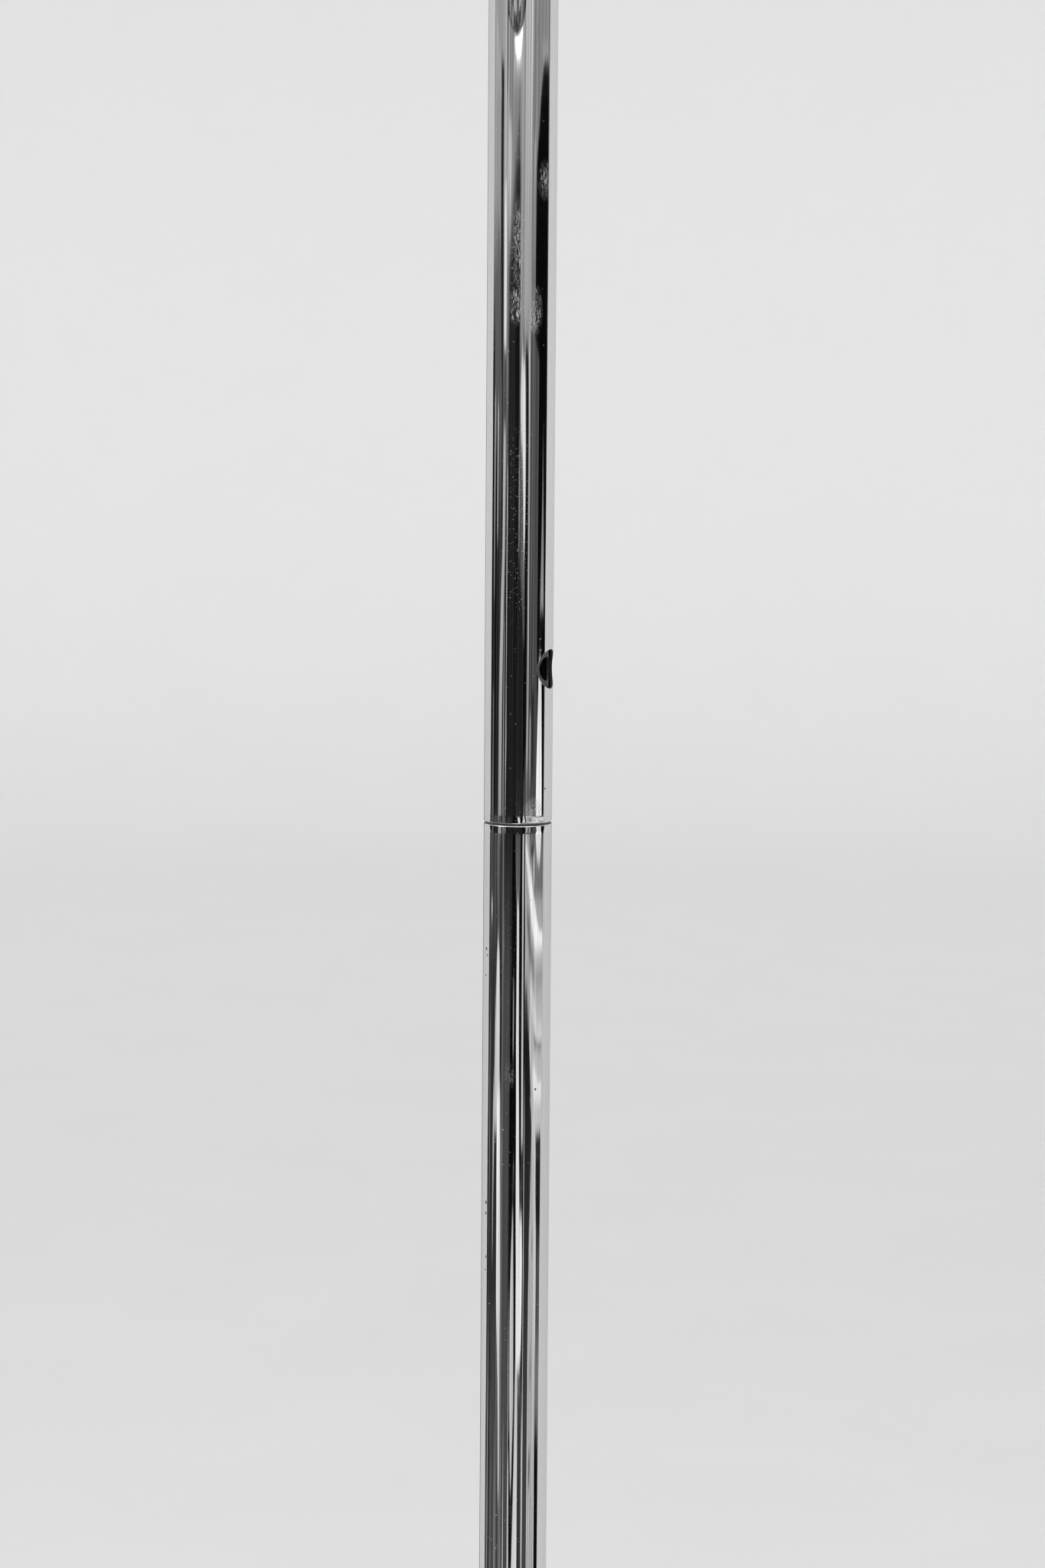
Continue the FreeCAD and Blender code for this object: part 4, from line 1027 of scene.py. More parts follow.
piece(
    "lower_tube",
    Turned([(11.5, 30), (12.5, 30), (12.5, 899.65), (12.15, 900), (11.5, 900)], {2: (0.35, True)},
           segments=192, step=12),
    "stand", pole_chrome,
)
piece(
    "inner_column",
    Turned([(8.5, 740), (10, 740), (10, 1330), (8.5, 1330)], ease=0.3, segments=128),
    "stand", LOOKS["black_enamel"],
    cuts=[
        Bore((2, 0, 1307), (1, 0, 0), 4.1, 12), Bore((2, 0, HOLE_Z), (1, 0, 0), 5.5, 12),
        Bore((0, -15, 872), (0, 1, 0), 1.52, 30, 32), Bore((0, -15, 760), (0, 1, 0), 1.52, 30, 32),
        Bore((0, -15, 1324), (0, 1, 0), 1.52, 30, 32),
    ],
)

# lock button and mast
piece(
    "lock_button",
    Turned([(0, 5.3), (5.5, 5.3), (5.5, 6.25), (4, 6.25), (4, 9.9), (0, 11.4)], {4: (6.0833, True)},
           at=(0, 0, 1307), axis=(1, 0, 0), ease=0.2, segments=64),
    "lock_button", fitting_chrome,
)
# the second material colours the hole's wall near black: painted shade inside the hole, not the colour of cut steel
drilled_tube("upper_tube", 11.5, 12.5, 900.75, 1400.0, HOLE_Z, HOLE_R, 0.16, 0.35, "mast", pole_chrome,
             metal("raw_cut_steel", (0.06, 0.06, 0.062), 0.6, 0.5, mottle=0.4))
piece(
    "lock_sleeve",
    Turned([(10.2, 901.25), (11.45, 901.25), (11.45, 944.5), (10.9, 945.05), (10.9, 968.95), (11.45, 969.5),
            (11.45, 978.5), (11.2, 978.5), (10.2, 976.5)], ease=0.12, segments=160),
    "mast", LOOKS["dark_steel"], cuts=[Bore((4, 0, HOLE_Z), (1, 0, 0), 4.5, 12, 96)],
)
piece(
    "mast_plug",
    Turned([(4, 1370), (11.45, 1370), (11.45, 1400), (12.5, 1400), (12.5, 1402.5), (7.5, 1402.5),
            (7.5, 1446.5), (4, 1446.5)], ease=0.25, segments=128),
    "mast", fitting_chrome,
)

# arm
piece(
    "arm_hub",
    Turned([(0, 1402.8), (15, 1402.8), (16, 1403.8), (16, 1449.6), (15.6, 1450), (0, 1450)],
           ease=0.3, segments=160),
    "arm", fitting_chrome,
    adds=[Turned([(0, 5), (11, 5), (11, 29.2), (10.2, 30), (0, 30)], at=(0, 0, 1424), axis=(0, -1, 0),
                 ease=0.25, segments=128)],
    cuts=[
        Bore((0, 0, 1400), (0, 0, 1), 7.55, 55), Bore((0, 0, 1440), (0, 0, 1), 12.0, 12),
        Bore((0, -9.6, 1424), (0, -1, 0), 8.03, 25), Bore((0, 0, 1424), (0, -1, 0), 3.0, 12),
        Bore((0, -22, 1405), (0, 0, 1), 2.03, 18),
    ],
)
piece(
    "hub_cap",
    Turned([(0, 1447.2), (11.9, 1447.2), (11.9, 1450.05), (16, 1450.05), (16, 1451.5), (0, 1456)],
           {4: (30.6944, True)}, ease=0.3, segments=160, step=2),
    "arm", fitting_chrome,
)
piece(
    "arm_tube",
    Turned([(7, 10), (8, 10), (8, 200), (7, 200)], at=(0, 0, 1424), axis=(0, -1, 0), ease=0.15, segments=128),
    "arm", fitting_chrome,
)


def flutes(count, depth, half_width, from_r):
    def ripple(t, r, z):
        if r < from_r:
            return r
        pitch = 2 * math.pi * r / count
        off = abs((t * count / (2 * math.pi) + 0.5) % 1.0 - 0.5) * pitch
        return r - depth * max(0.0, 1.0 - off / half_width)

    return ripple


piece(
    "tilt_knob",
    Turned([(2.56, 9.4), (8, 9.4), (8, 11), (9.7, 11), (10.5, 11.8), (10.5, 20.6), (9.1, 22.4), (0, 23.4),
            (0, 19.6), (2.56, 19.6)], {6: (41.905, True)}, at=PIVOT, axis=(1, 0, 0), ease=0.25,
           segments=400, step=2, ripple=flutes(20, 0.55, 0.5, 10.0)),
    "tilt_knob", fitting_chrome, crisp=32,
)

# head
vents = []
for turn in range(8):
    a = math.radians(22.5 + 45 * turn)
    ux, uy = math.cos(a), math.sin(a)
    vents.append(Block(outline=[
        (20 * ux + 1.25 * uy, -220 + 20 * uy - 1.25 * ux), (25 * ux + 1.25 * uy, -220 + 25 * uy - 1.25 * ux),
        (25 * ux - 1.25 * uy, -220 + 25 * uy + 1.25 * ux), (20 * ux - 1.25 * uy, -220 + 20 * uy + 1.25 * ux),
    ], along="z", reach=(1374, 1386)))
piece(
    "holder_cup",
    Turned([(5.1, 1397), (17, 1397), (22, 1392), (22, 1328), (23, 1328), (23, 1392), (17, 1398), (5.1, 1398)],
           {1: (5, False), 5: (6, True)}, at=HEAD, ease=0.25, segments=160),
    "head", fitting_chrome,
    cuts=[*vents, Bore((0, -235, 1381), (0, -1, 0), 4.0, 20)],
)
piece(
    "shade",
    Turned([(19.7, 1327), (25.632, 1327), (110.991, 1220.414), (111.5, 1217.5), (111.991, 1220.414),
            (25.7488, 1328), (19.7, 1328)],
           {1: (111, False), 2: (1.5, True), 3: (1.5, True), 4: (112, True)},
           at=HEAD, ease=0.2, segments=256, step=2, paint={0: 1, 1: 1}),
    "head", [shade_chrome, white_enamel],
)


def ring_notches(t, r, z):
    if r < 25.0:
        return r
    off = abs((t * 12 / (2 * math.pi) + 0.5) % 1.0 - 0.5) * 2 * math.pi * r / 12
    return r - (0.7 if off < 1.5 else 0.0)


piece(
    "shade_ring",
    Turned([(19.55, 1322), (24.6, 1322), (25.6, 1323), (25.6, 1327), (19.55, 1327)], at=HEAD,
           segments=320, ripple=ring_notches),
    "head", LOOKS["phenolic"], crisp=32,
)
piece(
    "bulb_glass",
    Turned([(12.8, 1311.2), (24, 1279.2), (0, 1231.2), (0, 1232.2), (23.2, 1278.6), (11.8, 1311.2)],
           {0: (60, True), 1: (30, False), 3: (29, True), 4: (61, False)}, at=HEAD, segments=128, step=3),
    "head", LOOKS["opal_glass"],
)
piece(
    "switch_knob",
    Turned([(0, 12.5), (1.97, 12.5), (1.97, 27.5), (6.2, 27.5), (6.6, 28.2), (6.6, 35.8), (5.6, 37.2), (0, 37.8)],
           {6: (26.4333, True)}, at=(0, -220, 1381), axis=(0, -1, 0), ease=0.2, segments=320, step=2,
           ripple=flutes(16, 0.35, 0.42, 6.3)),
    "switch_knob", LOOKS["phenolic"], crisp=32,
)


# -------------------------------------------------------------------- studio
FLOOR_R, BEND, WALL = 7.0, 3.0, 6.5
# paper tones: darker on the floor, lighter towards the bend and up the wall, painted shade that evens out how the lamps
# light it
FLOOR_TONE, BEND_TONE, WALL_TONE = 0.585, 0.69, 0.82


def make_cyclorama():
    """Pale floor that bends up into a round wall, far outside every view."""
    bm = bmesh.new()
    rows = [(0.0, 0.0)] + [(FLOOR_R * (i / 8), 0.0) for i in range(1, 9)]
    rows += [
        (FLOOR_R + BEND * math.sin(t), BEND * (1 - math.cos(t)))
        for t in [math.pi / 2 * i / 16 for i in range(1, 17)]
    ]
    rows += [(FLOOR_R + BEND, WALL)]
    n = 96
    rings = []
    for r, z in rows:
        if r == 0:
            rings.append([bm.verts.new((0, 0, z))])
        else:
            rings.append(
                [bm.verts.new((r * math.cos(2 * math.pi * j / n), r * math.sin(2 * math.pi * j / n), z)) for j in range(n)]
            )
    for a, b in zip(rings, rings[1:]):
        for j in range(n):
            k = (j + 1) % n
            bm.faces.new([a[0], b[j], b[k]] if len(a) == 1 else [a[j], b[j], b[k], a[k]])
    me = bpy.data.meshes.new("studio_floor")
    bm.to_mesh(me)
    bm.free()
    for poly in me.polygons:
        poly.use_smooth = True
    ob = bpy.data.objects.new("studio_floor", me)
    scene.collection.objects.link(ob)
    k = Look("studio_paper")
    tone = k.span(k.noise(k.p, 0.004, 3.0, 0.5), 0.3, 0.7)
    reach = k.vmath("LENGTH", k.vmath("MULTIPLY", k.p, (1, 1, 0)))
    # painted shade: the paper darkens on the floor near the lamp, where the light is strongest, and brightens towards
    # the bend and up the wall
    middle = k.span(reach, 2000, FLOOR_R * 1000, smooth=True)
    rise = k.span(reach, (FLOOR_R - 0.5) * 1000, (FLOOR_R + BEND) * 1000, smooth=True)
    paper = k.mix(middle, (FLOOR_TONE,) * 3, (BEND_TONE,) * 3)
    paper = k.mix(rise, paper, (WALL_TONE,) * 3)
    k.give(base_color=k.mix(tone, paper, k.mix(0.03, paper, (1.0, 1.0, 1.0))), roughness=0.85)
    k.bsdf.inputs["Specular IOR Level"].default_value = 0.2
    me.materials.append(k.mat)


BLACK, INK, DARK, SLATE, GREY, SILVER, PALE, WHITE, BRIGHT, LAMP = 0.004, 0.02, 0.045, 0.09, 0.2, 0.42, 0.68, 1.0, 1.25, 2.4
RING = 1.6
TOP = 1.62
SPLIT = 0.724  # upper and lower cards meet here


def card(name, tone, rows, layer=0, low_tone=None, soft=1.2, grain=0.25, ends=0.016, rag=0.8):
    """A studio card on the ring: rows of (height, left, right) with azimuths in
    degrees from the set's front. Only mirror reflections see it."""
    rows = sorted(rows, reverse=True)
    heights = [r[0] for r in rows]
    zs = []
    for a, b in zip(heights, heights[1:]):
        k = max(1, math.ceil((a - b) / 0.03))
        zs += [a + (b - a) * i / k for i in range(k)]
    zs.append(heights[-1])
    radius = RING + 0.002 * layer
    across = max(4, math.ceil(max(r[2] - r[1] for r in rows) / 2.0))
    bm = bmesh.new()
    uv = bm.loops.layers.uv.new("card")
    grid, coords = [], {}
    places = [(z, radius, z) for z in zs]
    if heights[-1] == 0.0:  # a card that stands on the floor goes on along it
        flat = 0.001 * (14 - layer)
        places = [(max(z, flat), r, z0) for z, r, z0 in places]
        places += [(flat, radius - (radius - 0.3) * i / 10, 0.0) for i in range(1, 11)]
    for height, radius, z in places:
        left = np.interp(-z, [-h for h in heights], [r[1] for r in rows])
        right = np.interp(-z, [-h for h in heights], [r[2] for r in rows])
        ring = []
        for i in range(across + 1):
            s = i / across
            deg = left + (right - left) * s
            a = math.radians(VIEW_AZIMUTH + deg)
            v = bm.verts.new((radius * math.sin(a), -radius * math.cos(a), height))
            width = max(right - left, 0.2)
            coords[v] = (min(s, 1 - s) * width / max(soft, 1e-3), (z - heights[-1]) / (heights[0] - heights[-1]))
            ring.append(v)
        grid.append(ring)
    for a, b in zip(grid, grid[1:]):
        for j in range(across):
            f = bm.faces.new([a[j], a[j + 1], b[j + 1], b[j]])
            for loop in f.loops:
                loop[uv].uv = coords[loop.vert]
    me = bpy.data.meshes.new("card_" + name)
    bm.to_mesh(me)
    bm.free()
    ob = bpy.data.objects.new("card_" + name, me)
    scene.collection.objects.link(ob)
    k = Look("card_" + name)
    k.tree.nodes.remove(k.bsdf)
    st = k.node("SeparateXYZ", {0: k.node("UVMap", uv_map="card")}, 0)
    up = k.tree.nodes[-1].outputs[1]
    p = k.vmath("MULTIPLY", k.p, (0.008, 0.008, 0.0008))
    folds = k.noise(p, 1.0, 6.0, 0.74)
    level = k.blend(up, low_tone if low_tone is not None else tone, tone)
    level = k.math("MULTIPLY", level, k.span(folds, 0.34, 0.66, 1.0 - grain, 1.0 + grain))
    glow = k.node("Emission", {"Color": (1, 1, 1, 1), "Strength": level})
    gone = k.node("BsdfTransparent")
    torn = k.noise(k.vmath("MULTIPLY", k.p, (0.012, 0.012, 0.012)), 1.0, 3.0, 0.6)
    torn = k.span(torn, 0.3, 0.7, -0.5 * rag, 0.5 * rag)
    share = k.span(k.math("ADD", st, torn), 0.0, 1.0, 0.0, 1.0, smooth=True)
    tall = heights[0] - heights[-1]
    if heights[0] not in (TOP, SPLIT):
        room = k.math("MULTIPLY", k.math("SUBTRACT", 1.0, up), tall / ends)
        share = k.math("MULTIPLY", share, k.span(k.math("ADD", room, torn), 0.0, 1.0, smooth=True))
    if heights[-1] not in (0.0, SPLIT):
        room = k.math("MULTIPLY", up, tall / ends)
        share = k.math("MULTIPLY", share, k.span(k.math("ADD", room, torn), 0.0, 1.0, smooth=True))
    mixed = k.node("MixShader", {0: share, 1: gone, 2: glow})
    k.tree.links.new(mixed, k.out.inputs["Surface"])
    k.mat.cycles.emission_sampling = "NONE"
    me.materials.append(k.mat)
    ob.visible_camera = ob.visible_diffuse = ob.visible_shadow = False
    ob.visible_transmission = ob.visible_volume_scatter = False


def make_cards():
    # upper tier, left to right
    card("left_wing_low", DARK, [(TOP, -107, -45), (SPLIT, -107, -45)], 11, DARK, grain=0.8)
    card("left_wing", GREY, [(1.23, -106, -45), (0.97, -106, -45)], 9, SLATE, grain=0.8, ends=0.05)
    card("left_wing_high", SILVER, [(TOP, -106, -45), (1.17, -106, -45)], 8, SILVER, grain=0.45, ends=0.06)
    card("slat_a", BLACK, [(1.16, -105, -98), (0.74, -105, -98)], 5, soft=0.8, ends=0.06)
    card("slat_b", PALE, [(1.08, -96, -91), (0.98, -97, -91), (0.90, -96, -91)], 5, GREY, soft=1.5)
    card("slat_c", BLACK, [(1.06, -90, -84), (SPLIT, -90, -82)], 5, soft=0.8, ends=0.04)
    card("slat_d", PALE, [(1.07, -83, -77), (0.95, -83, -78)], 5, SILVER, soft=1.5)
    card("slat_f", INK, [(0.97, -82, -73), (SPLIT, -81, -74)], 6, INK, soft=1.5, grain=0.8, ends=0.05)
    card("slat_e", GREY, [(0.84, -98, -92), (SPLIT, -98, -90)], 6, soft=2)
    card("haze_left", PALE, [(1.38, -100, -94), (1.30, -98, -66)], 6, SILVER, soft=6, grain=0.5)
    card("flag_left", INK, [(1.345, -77, -64), (1.18, -74, -62), (1.05, -67, -61), (0.90, -66, -61)], 4, INK, soft=2)
    card("strip_left", WHITE, [(1.25, -61, -51), (1.16, -61, -49), (1.10, -60, -49)], 2, WHITE, soft=1.5)
    card("strip_left_dim", PALE, [(1.05, -59, -49), (0.95, -61, -50), (0.90, -66, -53), (0.82, -71, -57), (SPLIT, -71, -57)], 2, SILVER, soft=2)
    card("strip_left_top", SILVER, [(1.62, -61, -55), (1.24, -61, -53)], 3, PALE, soft=2)
    card("line_left", INK, [(1.62, -55, -50), (1.30, -54, -50)], 3)
    card("patch_left", PALE, [(1.30, -47, -38), (1.265, -50, -30), (1.22, -46, -34), (1.19, -44, -38)], 4, PALE, soft=6)
    card("stile_left", SLATE, [(1.02, -50, -44), (SPLIT, -50, -43)], 6, SLATE, grain=0.6)
    card("middle_high", SILVER, [(1.62, -46, 0), (1.2, -46, 0), (1.0, -46, 0)], 8, GREY, grain=0.5)
    card("window_high", LAMP, [(1.62, -31, 0), (1.36, -30, -1), (1.344, -26, -4), (1.330, -18, -9)], 1, soft=2)
    card("window_glow", PALE, [(1.40, -34, 3), (1.33, -33, 1), (1.30, -28, -6)], 3, SILVER, soft=5, ends=0.03)
    card("flag_middle_soft", SLATE, [(1.30, -12, -6), (1.24, -30, -2), (1.17, -46, -2), (1.0, -46, -2)], 5, INK, soft=8, grain=0.6)
    card("flag_middle", INK, [(1.26, -12, -5), (1.20, -32, -3), (1.13, -42, -2), (0.95, -44, -1), (0.88, -44, 14), (0.84, -44, 24), (SPLIT, -44, 20)], 4, INK, soft=3, grain=1.0)
    card("flag_foot", BLACK, [(0.88, 12, 26), (0.80, 14, 26), (SPLIT, 13, 19)], 3, soft=2)
    card("panel_right_high", PALE, [(TOP, -1, 35), (1.10, -1, 34)], 7, SILVER, grain=0.5, ends=0.03)
    card("panel_right_back", SLATE, [(1.14, -3, 36), (SPLIT, -3, 34)], 9, SLATE, grain=0.8, ends=0.0001)
    card("streak_right", WHITE, [(1.62, 27, 35), (1.32, 25, 35), (1.24, 26, 32)], 5, PALE, soft=4, grain=0.5)
    card("window_right", WHITE, [(1.12, 3, 13), (1.07, -1, 17), (1.035, 1, 19), (1.02, 7, 19), (0.985, 10, 19), (0.95, 12, 17), (0.93, 13, 15)], 2, WHITE, soft=2.5, ends=0.03)
    card("window_right_dim", SLATE, [(1.03, -3, 12), (0.98, -3, 14), (0.90, 6, 18)], 3, GREY, soft=4, grain=0.8, ends=0.03)
    card("flag_thin", BLACK, [(1.12, 14, 22), (1.08, 19, 26), (1.02, 19, 27), (0.93, 17, 27), (0.85, 16, 26)], 3, soft=2)
    card("scrim_thin", PALE, [(1.12, 24, 32), (1.05, 27, 33), (0.84, 28, 34), (0.76, 25, 33)], 4, SILVER, soft=1.5)
    card("panel_right", SLATE, [(1.13, 33, 66), (SPLIT, 30, 66)], 8, SLATE, grain=0.7)
    card("line_right", PALE, [(1.28, 40, 45), (1.17, 40, 44)], 4, SILVER, soft=2)
    card("line_right_low", GREY, [(1.14, 39, 45), (0.95, 39, 43), (0.82, 38, 41)], 4, GREY, soft=2)
    card("knot_right", SILVER, [(0.82, 36, 43), (0.75, 37, 42)], 4, SILVER, soft=2)
    card("knot_right_dark", INK, [(0.84, 44, 54), (0.75, 45, 52)], 4, INK, soft=3)
    card("right_back", INK, [(TOP, 32, 102), (SPLIT, 32, 98)], 12, INK, grain=0.6)
    card("right_high", SILVER, [(TOP, 33, 102), (1.11, 33, 101)], 9, GREY, grain=0.6, ends=0.03)
    card("right_high_spot", DARK, [(1.37, 46, 54), (1.352, 47, 53)], 5, DARK, soft=3)
    card("right_haze", SILVER, [(1.36, 60, 100), (1.325, 66, 96)], 6, SILVER, soft=8)
    card("flag_right", BLACK, [(1.345, 78, 96), (1.31, 62, 98), (1.25, 47, 98), (1.12, 46, 98), (1.10, 63, 98), (SPLIT, 61, 98)], 5, grain=0.5, soft=2)
    card("wedge_dim", SLATE, [(1.06, 81, 83), (0.97, 77, 88), (0.89, 72, 92)], 3, SILVER, soft=4)
    card("wedge_right", WHITE, [(0.865, 71, 80), (0.83, 68, 84), (0.78, 64, 87), (SPLIT, 62, 88)], 2, BRIGHT, soft=2)
    card("edge_left", BLACK, [(1.13, -107, -103), (SPLIT, -107, -103)], 1, soft=0.8, ends=0.05)
    card("edge_right", BLACK, [(0.94, 90, 98), (0.70, 89, 98)], 1, soft=1.5, ends=0.03)
    card("line_mid_left", BLACK, [(1.02, -49, -45), (SPLIT, -48, -44)], 2, soft=1.0, ends=0.05)
    card("line_mid_pale", SILVER, [(0.90, -53, -50), (SPLIT, -54, -50)], 2, soft=1.0, ends=0.05)
    # lower tier, left to right
    card("low_edge_left", BLACK, [(SPLIT, -109, -104), (0.55, -110, -105), (0.30, -113, -108)], 2, soft=1.0, ends=0.06)
    card("low_line_left", SILVER, [(0.60, -101, -98), (0.36, -103, -99)], 6, GREY, soft=1.5, ends=0.06)
    card("low_line_mid", BLACK, [(0.62, -55, -51), (0.46, -54, -50)], 2, soft=1.0, ends=0.05)
    card("low_line_panel", BLACK, [(0.70, -22, -18), (0.30, -23, -19)], 3, soft=1.0, ends=0.05)
    card("low_left_mid", DARK, [(SPLIT, -108, -45), (0.60, -110, -45), (0.33, -113, -45), (0.0, -116, -45)], 11, DARK, grain=0.9)
    card("low_left", SLATE, [(SPLIT, -108, -45), (0.60, -109, -45)], 9, SLATE, grain=0.8, ends=0.05)
    card("low_left_foot", SLATE, [(0.35, -113, -45), (0.0, -116, -45)], 8, SLATE, grain=1.0, ends=0.06)
    card("low_left_streak", SILVER, [(0.30, -104, -98), (0.0, -107, -99)], 6, GREY, soft=3, grain=1.0, ends=0.08)
    card("low_left_dark", BLACK, [(0.33, -97, -91), (0.0, -99, -93)], 6, BLACK, soft=2, ends=0.06)
    card("low_left_pale", SILVER, [(0.26, -90, -82), (0.0, -92, -83)], 6, SILVER, soft=4, grain=1.0, ends=0.08)
    card("low_left_pale_b", GREY, [(0.24, -73, -66), (0.0, -72, -64)], 6, SILVER, soft=3, grain=1.0, ends=0.06)
    card("low_spot", WHITE, [(0.665, -98, -92), (0.64, -97, -91)], 5, soft=2)
    card("low_spot_line", SILVER, [(0.72, -72, -67), (0.64, -71, -66)], 5, GREY, soft=2)
    card("low_white_a", WHITE, [(0.635, -70, -64), (0.60, -74, -59), (0.56, -78, -57), (0.50, -80, -57), (0.46, -84, -56)], 4, PALE, soft=3, ends=0.02)
    card("low_white_branch", PALE, [(0.52, -83, -72), (0.46, -86, -78), (0.42, -86, -80), (0.34, -87, -83)], 3, SILVER, soft=2, ends=0.05)
    card("low_flag_branch", INK, [(0.465, -74, -71), (0.45, -77, -69), (0.42, -80, -69), (0.32, -80, -70)], 2, DARK, soft=2, ends=0.03)
    card("low_white_b", BRIGHT, [(0.52, -62, -55), (0.49, -69, -54), (0.40, -68, -52), (0.33, -67, -51), (0.26, -60, -51), (0.15, -55, -49)], 3, PALE, soft=2, ends=0.03)
    card("low_strip", GREY, [(SPLIT, -52, -46), (0.0, -52, -45)], 6, GREY, soft=2)
    card("low_panel", SLATE, [(0.62, -47, -19), (0.0, -45, -20)], 5, SLATE, grain=0.4)
    card("low_panel_top", INK, [(SPLIT, -47, -17), (0.64, -46, -17), (0.58, -46, -17)], 4, SLATE, grain=0.6)
    card("low_mark_a", PALE, [(0.23, -37, -35), (0.0, -38, -33)], 3, soft=1)
    card("low_mark_b", PALE, [(0.20, -21, -17), (0.0, -22, -12)], 3)
    card("low_middle", BLACK, [(SPLIT, -20, 29), (0.0, -20, 29)], 8, BLACK)
    card("low_grey", SLATE, [(SPLIT, -8, 11), (0.64, -4, 9)], 6, GREY, soft=2, ends=0.03)
    card("low_glint_a", SILVER, [(0.60, -12, -7), (0.53, -13, -8)], 6, soft=2)
    card("low_glint_b", PALE, [(0.455, -8, -5), (0.42, -9, -4)], 6, soft=2)
    card("low_diamond", PALE, [(0.41, -9, -6), (0.36, -14, -4), (0.31, -17, -3), (0.24, -16, -2), (0.16, -11, -7)], 4, soft=1.5)
    card("low_band_a", WHITE, [(0.668, 0, 4), (0.65, -1, 7), (0.55, -1, 9), (0.45, 1, 13), (0.36, 3, 17), (0.26, 5, 20)], 4, WHITE, soft=1.5)
    card("low_band_b", PALE, [(SPLIT, 16, 22), (0.60, 17, 23), (0.45, 18, 26)], 4, PALE, soft=1.5)
    card("low_band_join", WHITE, [(0.405, 14, 24), (0.36, 10, 26), (0.29, 8, 24), (0.265, 6, 16)], 4, BRIGHT, soft=2)
    card("low_centre_foot", PALE, [(0.28, 3, 12), (0.18, 0, 13), (0.08, -8, 13), (0.0, -12, 12)], 5, WHITE, soft=1.5)
    card("low_dark_foot", DARK, [(0.28, 12, 27), (0.0, 12, 27)], 6, DARK, grain=0.8)
    card("low_line_foot", PALE, [(0.24, 25, 28), (0.0, 27, 32)], 4, soft=1.5)
    card("low_flag", BLACK, [(0.60, 26, 34), (0.53, 27, 48), (0.47, 29, 57), (0.33, 29, 49), (0.0, 30, 46)], 5, SLATE, soft=2)
    card("low_sweep", SILVER, [(SPLIT, 24, 99), (0.62, 28, 100), (0.56, 34, 100), (0.50, 46, 101), (0.47, 60, 99)], 6, PALE, grain=0.5)
    card("low_sweep_top", GREY, [(SPLIT, 36, 97), (0.655, 60, 96)], 5, GREY)
    card("low_sweep_flag", INK, [(SPLIT, 38, 60), (0.69, 46, 60)], 4, INK, soft=3)
    card("low_glint_c", WHITE, [(0.705, 55, 60), (0.665, 55, 60)], 3, soft=2)
    card("low_window", WHITE, [(SPLIT, 60, 90), (0.695, 66, 84), (0.685, 72, 80)], 4, WHITE, soft=3)
    card("low_arc_a", WHITE, [(0.715, 22, 28), (0.69, 31, 44), (0.66, 42, 62), (0.635, 54, 97), (0.612, 72, 98)], 3, BRIGHT, soft=2)
    card("low_arc_shadow", GREY, [(0.66, 28, 36), (0.625, 38, 52), (0.60, 50, 97), (0.585, 66, 98)], 4, GREY, soft=3)
    card("low_arc_b", WHITE, [(0.60, 40, 50), (0.575, 50, 64), (0.558, 62, 98), (0.54, 74, 98)], 3, WHITE, soft=2)
    card("low_arc_dark", GREY, [(0.56, 54, 62), (0.542, 62, 96), (0.53, 72, 96)], 2, GREY, soft=2)
    card("low_arc_c", WHITE, [(0.535, 56, 62), (0.51, 57, 98), (0.485, 70, 97)], 3, WHITE, soft=2)
    card("low_mottle", PALE, [(0.49, 62, 67), (0.42, 52, 72), (0.39, 49, 77), (0.34, 47, 79), (0.27, 46, 76), (0.0, 47, 75)], 3, SILVER, grain=0.9, soft=3, rag=1.6, ends=0.03)
    card("low_mottle_spot", SLATE, [(0.295, 55, 62), (0.255, 54, 60)], 2, SLATE, soft=4, rag=2.0)
    card("low_mottle_spot_b", SLATE, [(0.205, 53, 60), (0.165, 52, 59)], 2, SLATE, soft=4, rag=2.0)
    card("low_mottle_spot_c", GREY, [(0.395, 56, 62), (0.365, 57, 63)], 2, SLATE, soft=4, rag=2.0)
    card("low_edge_base", BLACK, [(0.47, 72, 95), (0.0, 76, 92)], 7, BLACK, grain=0.5)
    card("low_edge_flag", BLACK, [(0.475, 70, 95), (0.38, 78, 94), (0.36, 80, 93)], 6, INK, grain=0.8)
    card("low_edge_grey", SLATE, [(0.40, 78, 94), (0.19, 76, 93)], 5, SLATE, grain=1.0, ends=0.05)
    card("low_edge_pale", GREY, [(0.31, 72, 95), (0.20, 70, 94)], 4, GREY, grain=0.8, soft=5, ends=0.04)
    card("low_edge_foot", BLACK, [(0.21, 76, 92), (0.0, 77, 92)], 6, BLACK, grain=0.8)
    # one dark flag behind, for the views from the back
    card("back_flag", BLACK, [(1.62, 168, 186), (0.0, 168, 186)], 6, BLACK, soft=2)
    card("back_scrim", GREY, [(1.62, 186, 200), (0.0, 186, 200)], 7, SLATE, soft=2)
    card("back_window", PALE, [(2.5, 96, 262), (1.42, 96, 262)], 3, soft=4)


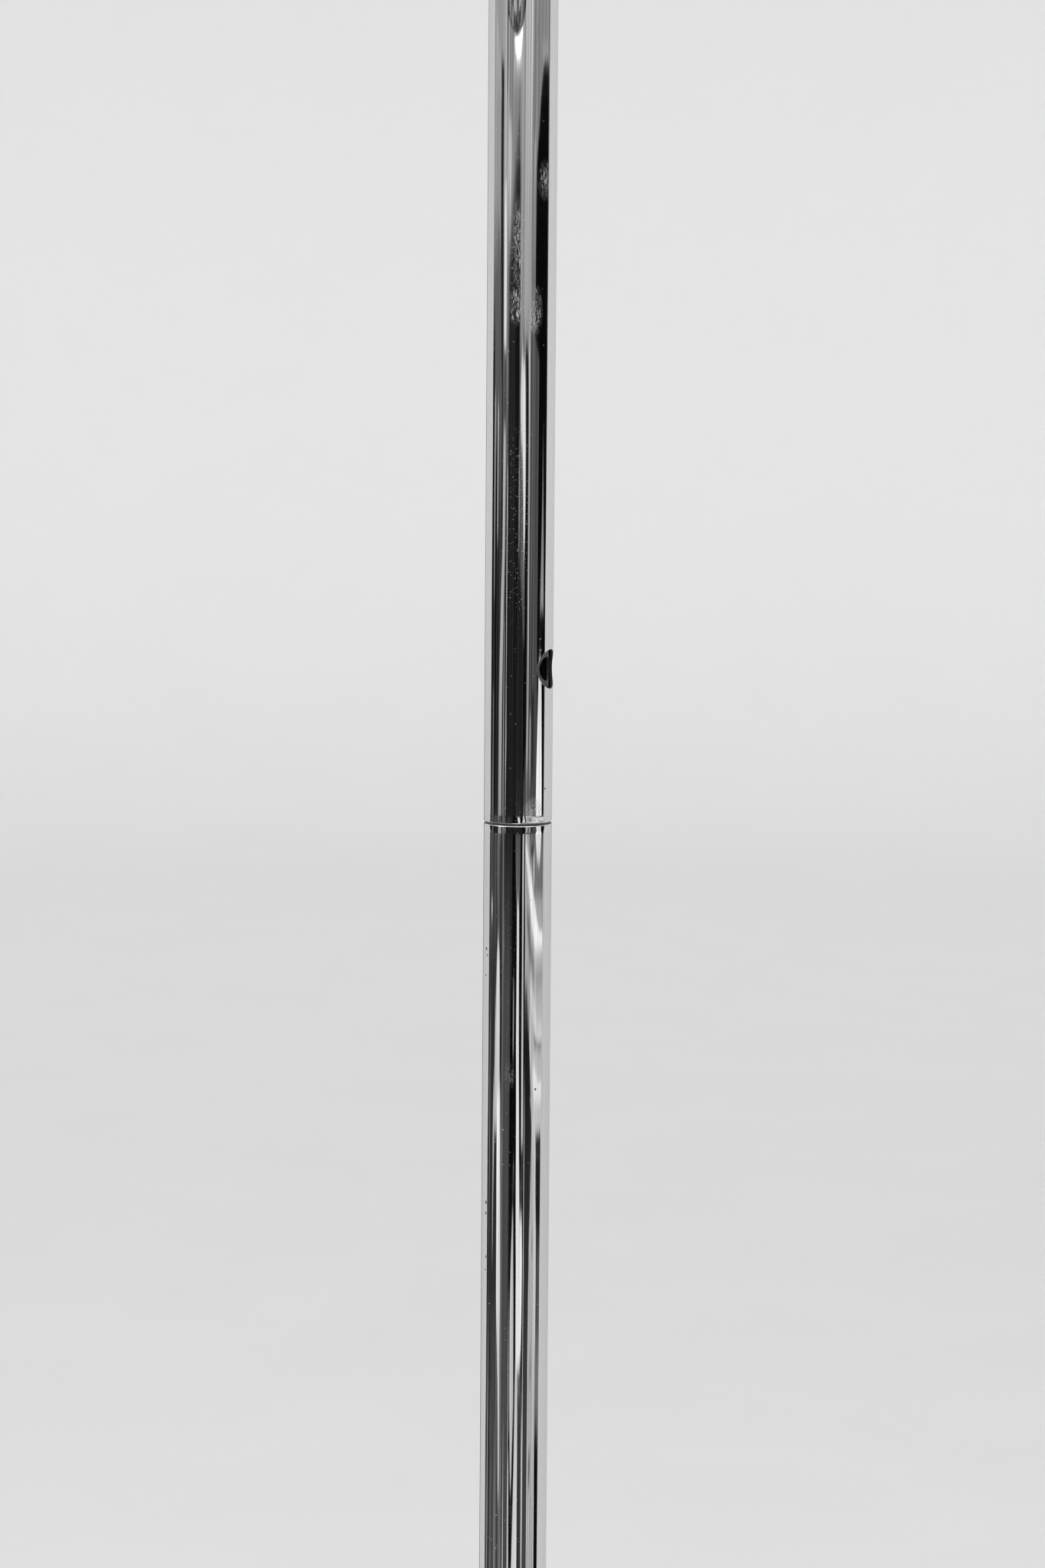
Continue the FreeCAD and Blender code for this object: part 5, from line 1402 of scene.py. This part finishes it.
def make_lights():
    def softbox(name, place, aim, size, power):
        data = bpy.data.lights.new(name, "AREA")
        data.shape = "RECTANGLE"
        data.size, data.size_y = size
        data.energy = power
        ob = bpy.data.objects.new(name, data)
        ob.location = place
        ob.rotation_mode = "QUATERNION"
        ob.rotation_quaternion = (Vector(aim) - Vector(place)).to_track_quat("-Z", "Y")
        scene.collection.objects.link(ob)

    softbox("top_softbox", (-0.6, -0.8, 4.4), (0, 0, 0.6), (3.2, 3.2), 60)
    softbox("left_softbox", (-3.6, -3.0, 3.6), (0, 0, 0.8), (2.2, 2.6), 50)
    softbox("right_softbox", (3.8, -1.6, 3.2), (0, 0, 0.8), (1.8, 2.2), 22)
    world = bpy.data.worlds.new("studio_world")
    world.use_nodes = True
    back = world.node_tree.nodes["Background"]
    back.inputs[0].default_value = (1, 1, 1, 1)
    back.inputs[1].default_value = 1.1
    scene.world = world


make_cyclorama()
make_cards()
make_lights()

scene.view_settings.view_transform = "Standard"
scene.view_settings.look = "None"
scene.view_settings.exposure = 0.0
scene.view_settings.gamma = 1.0
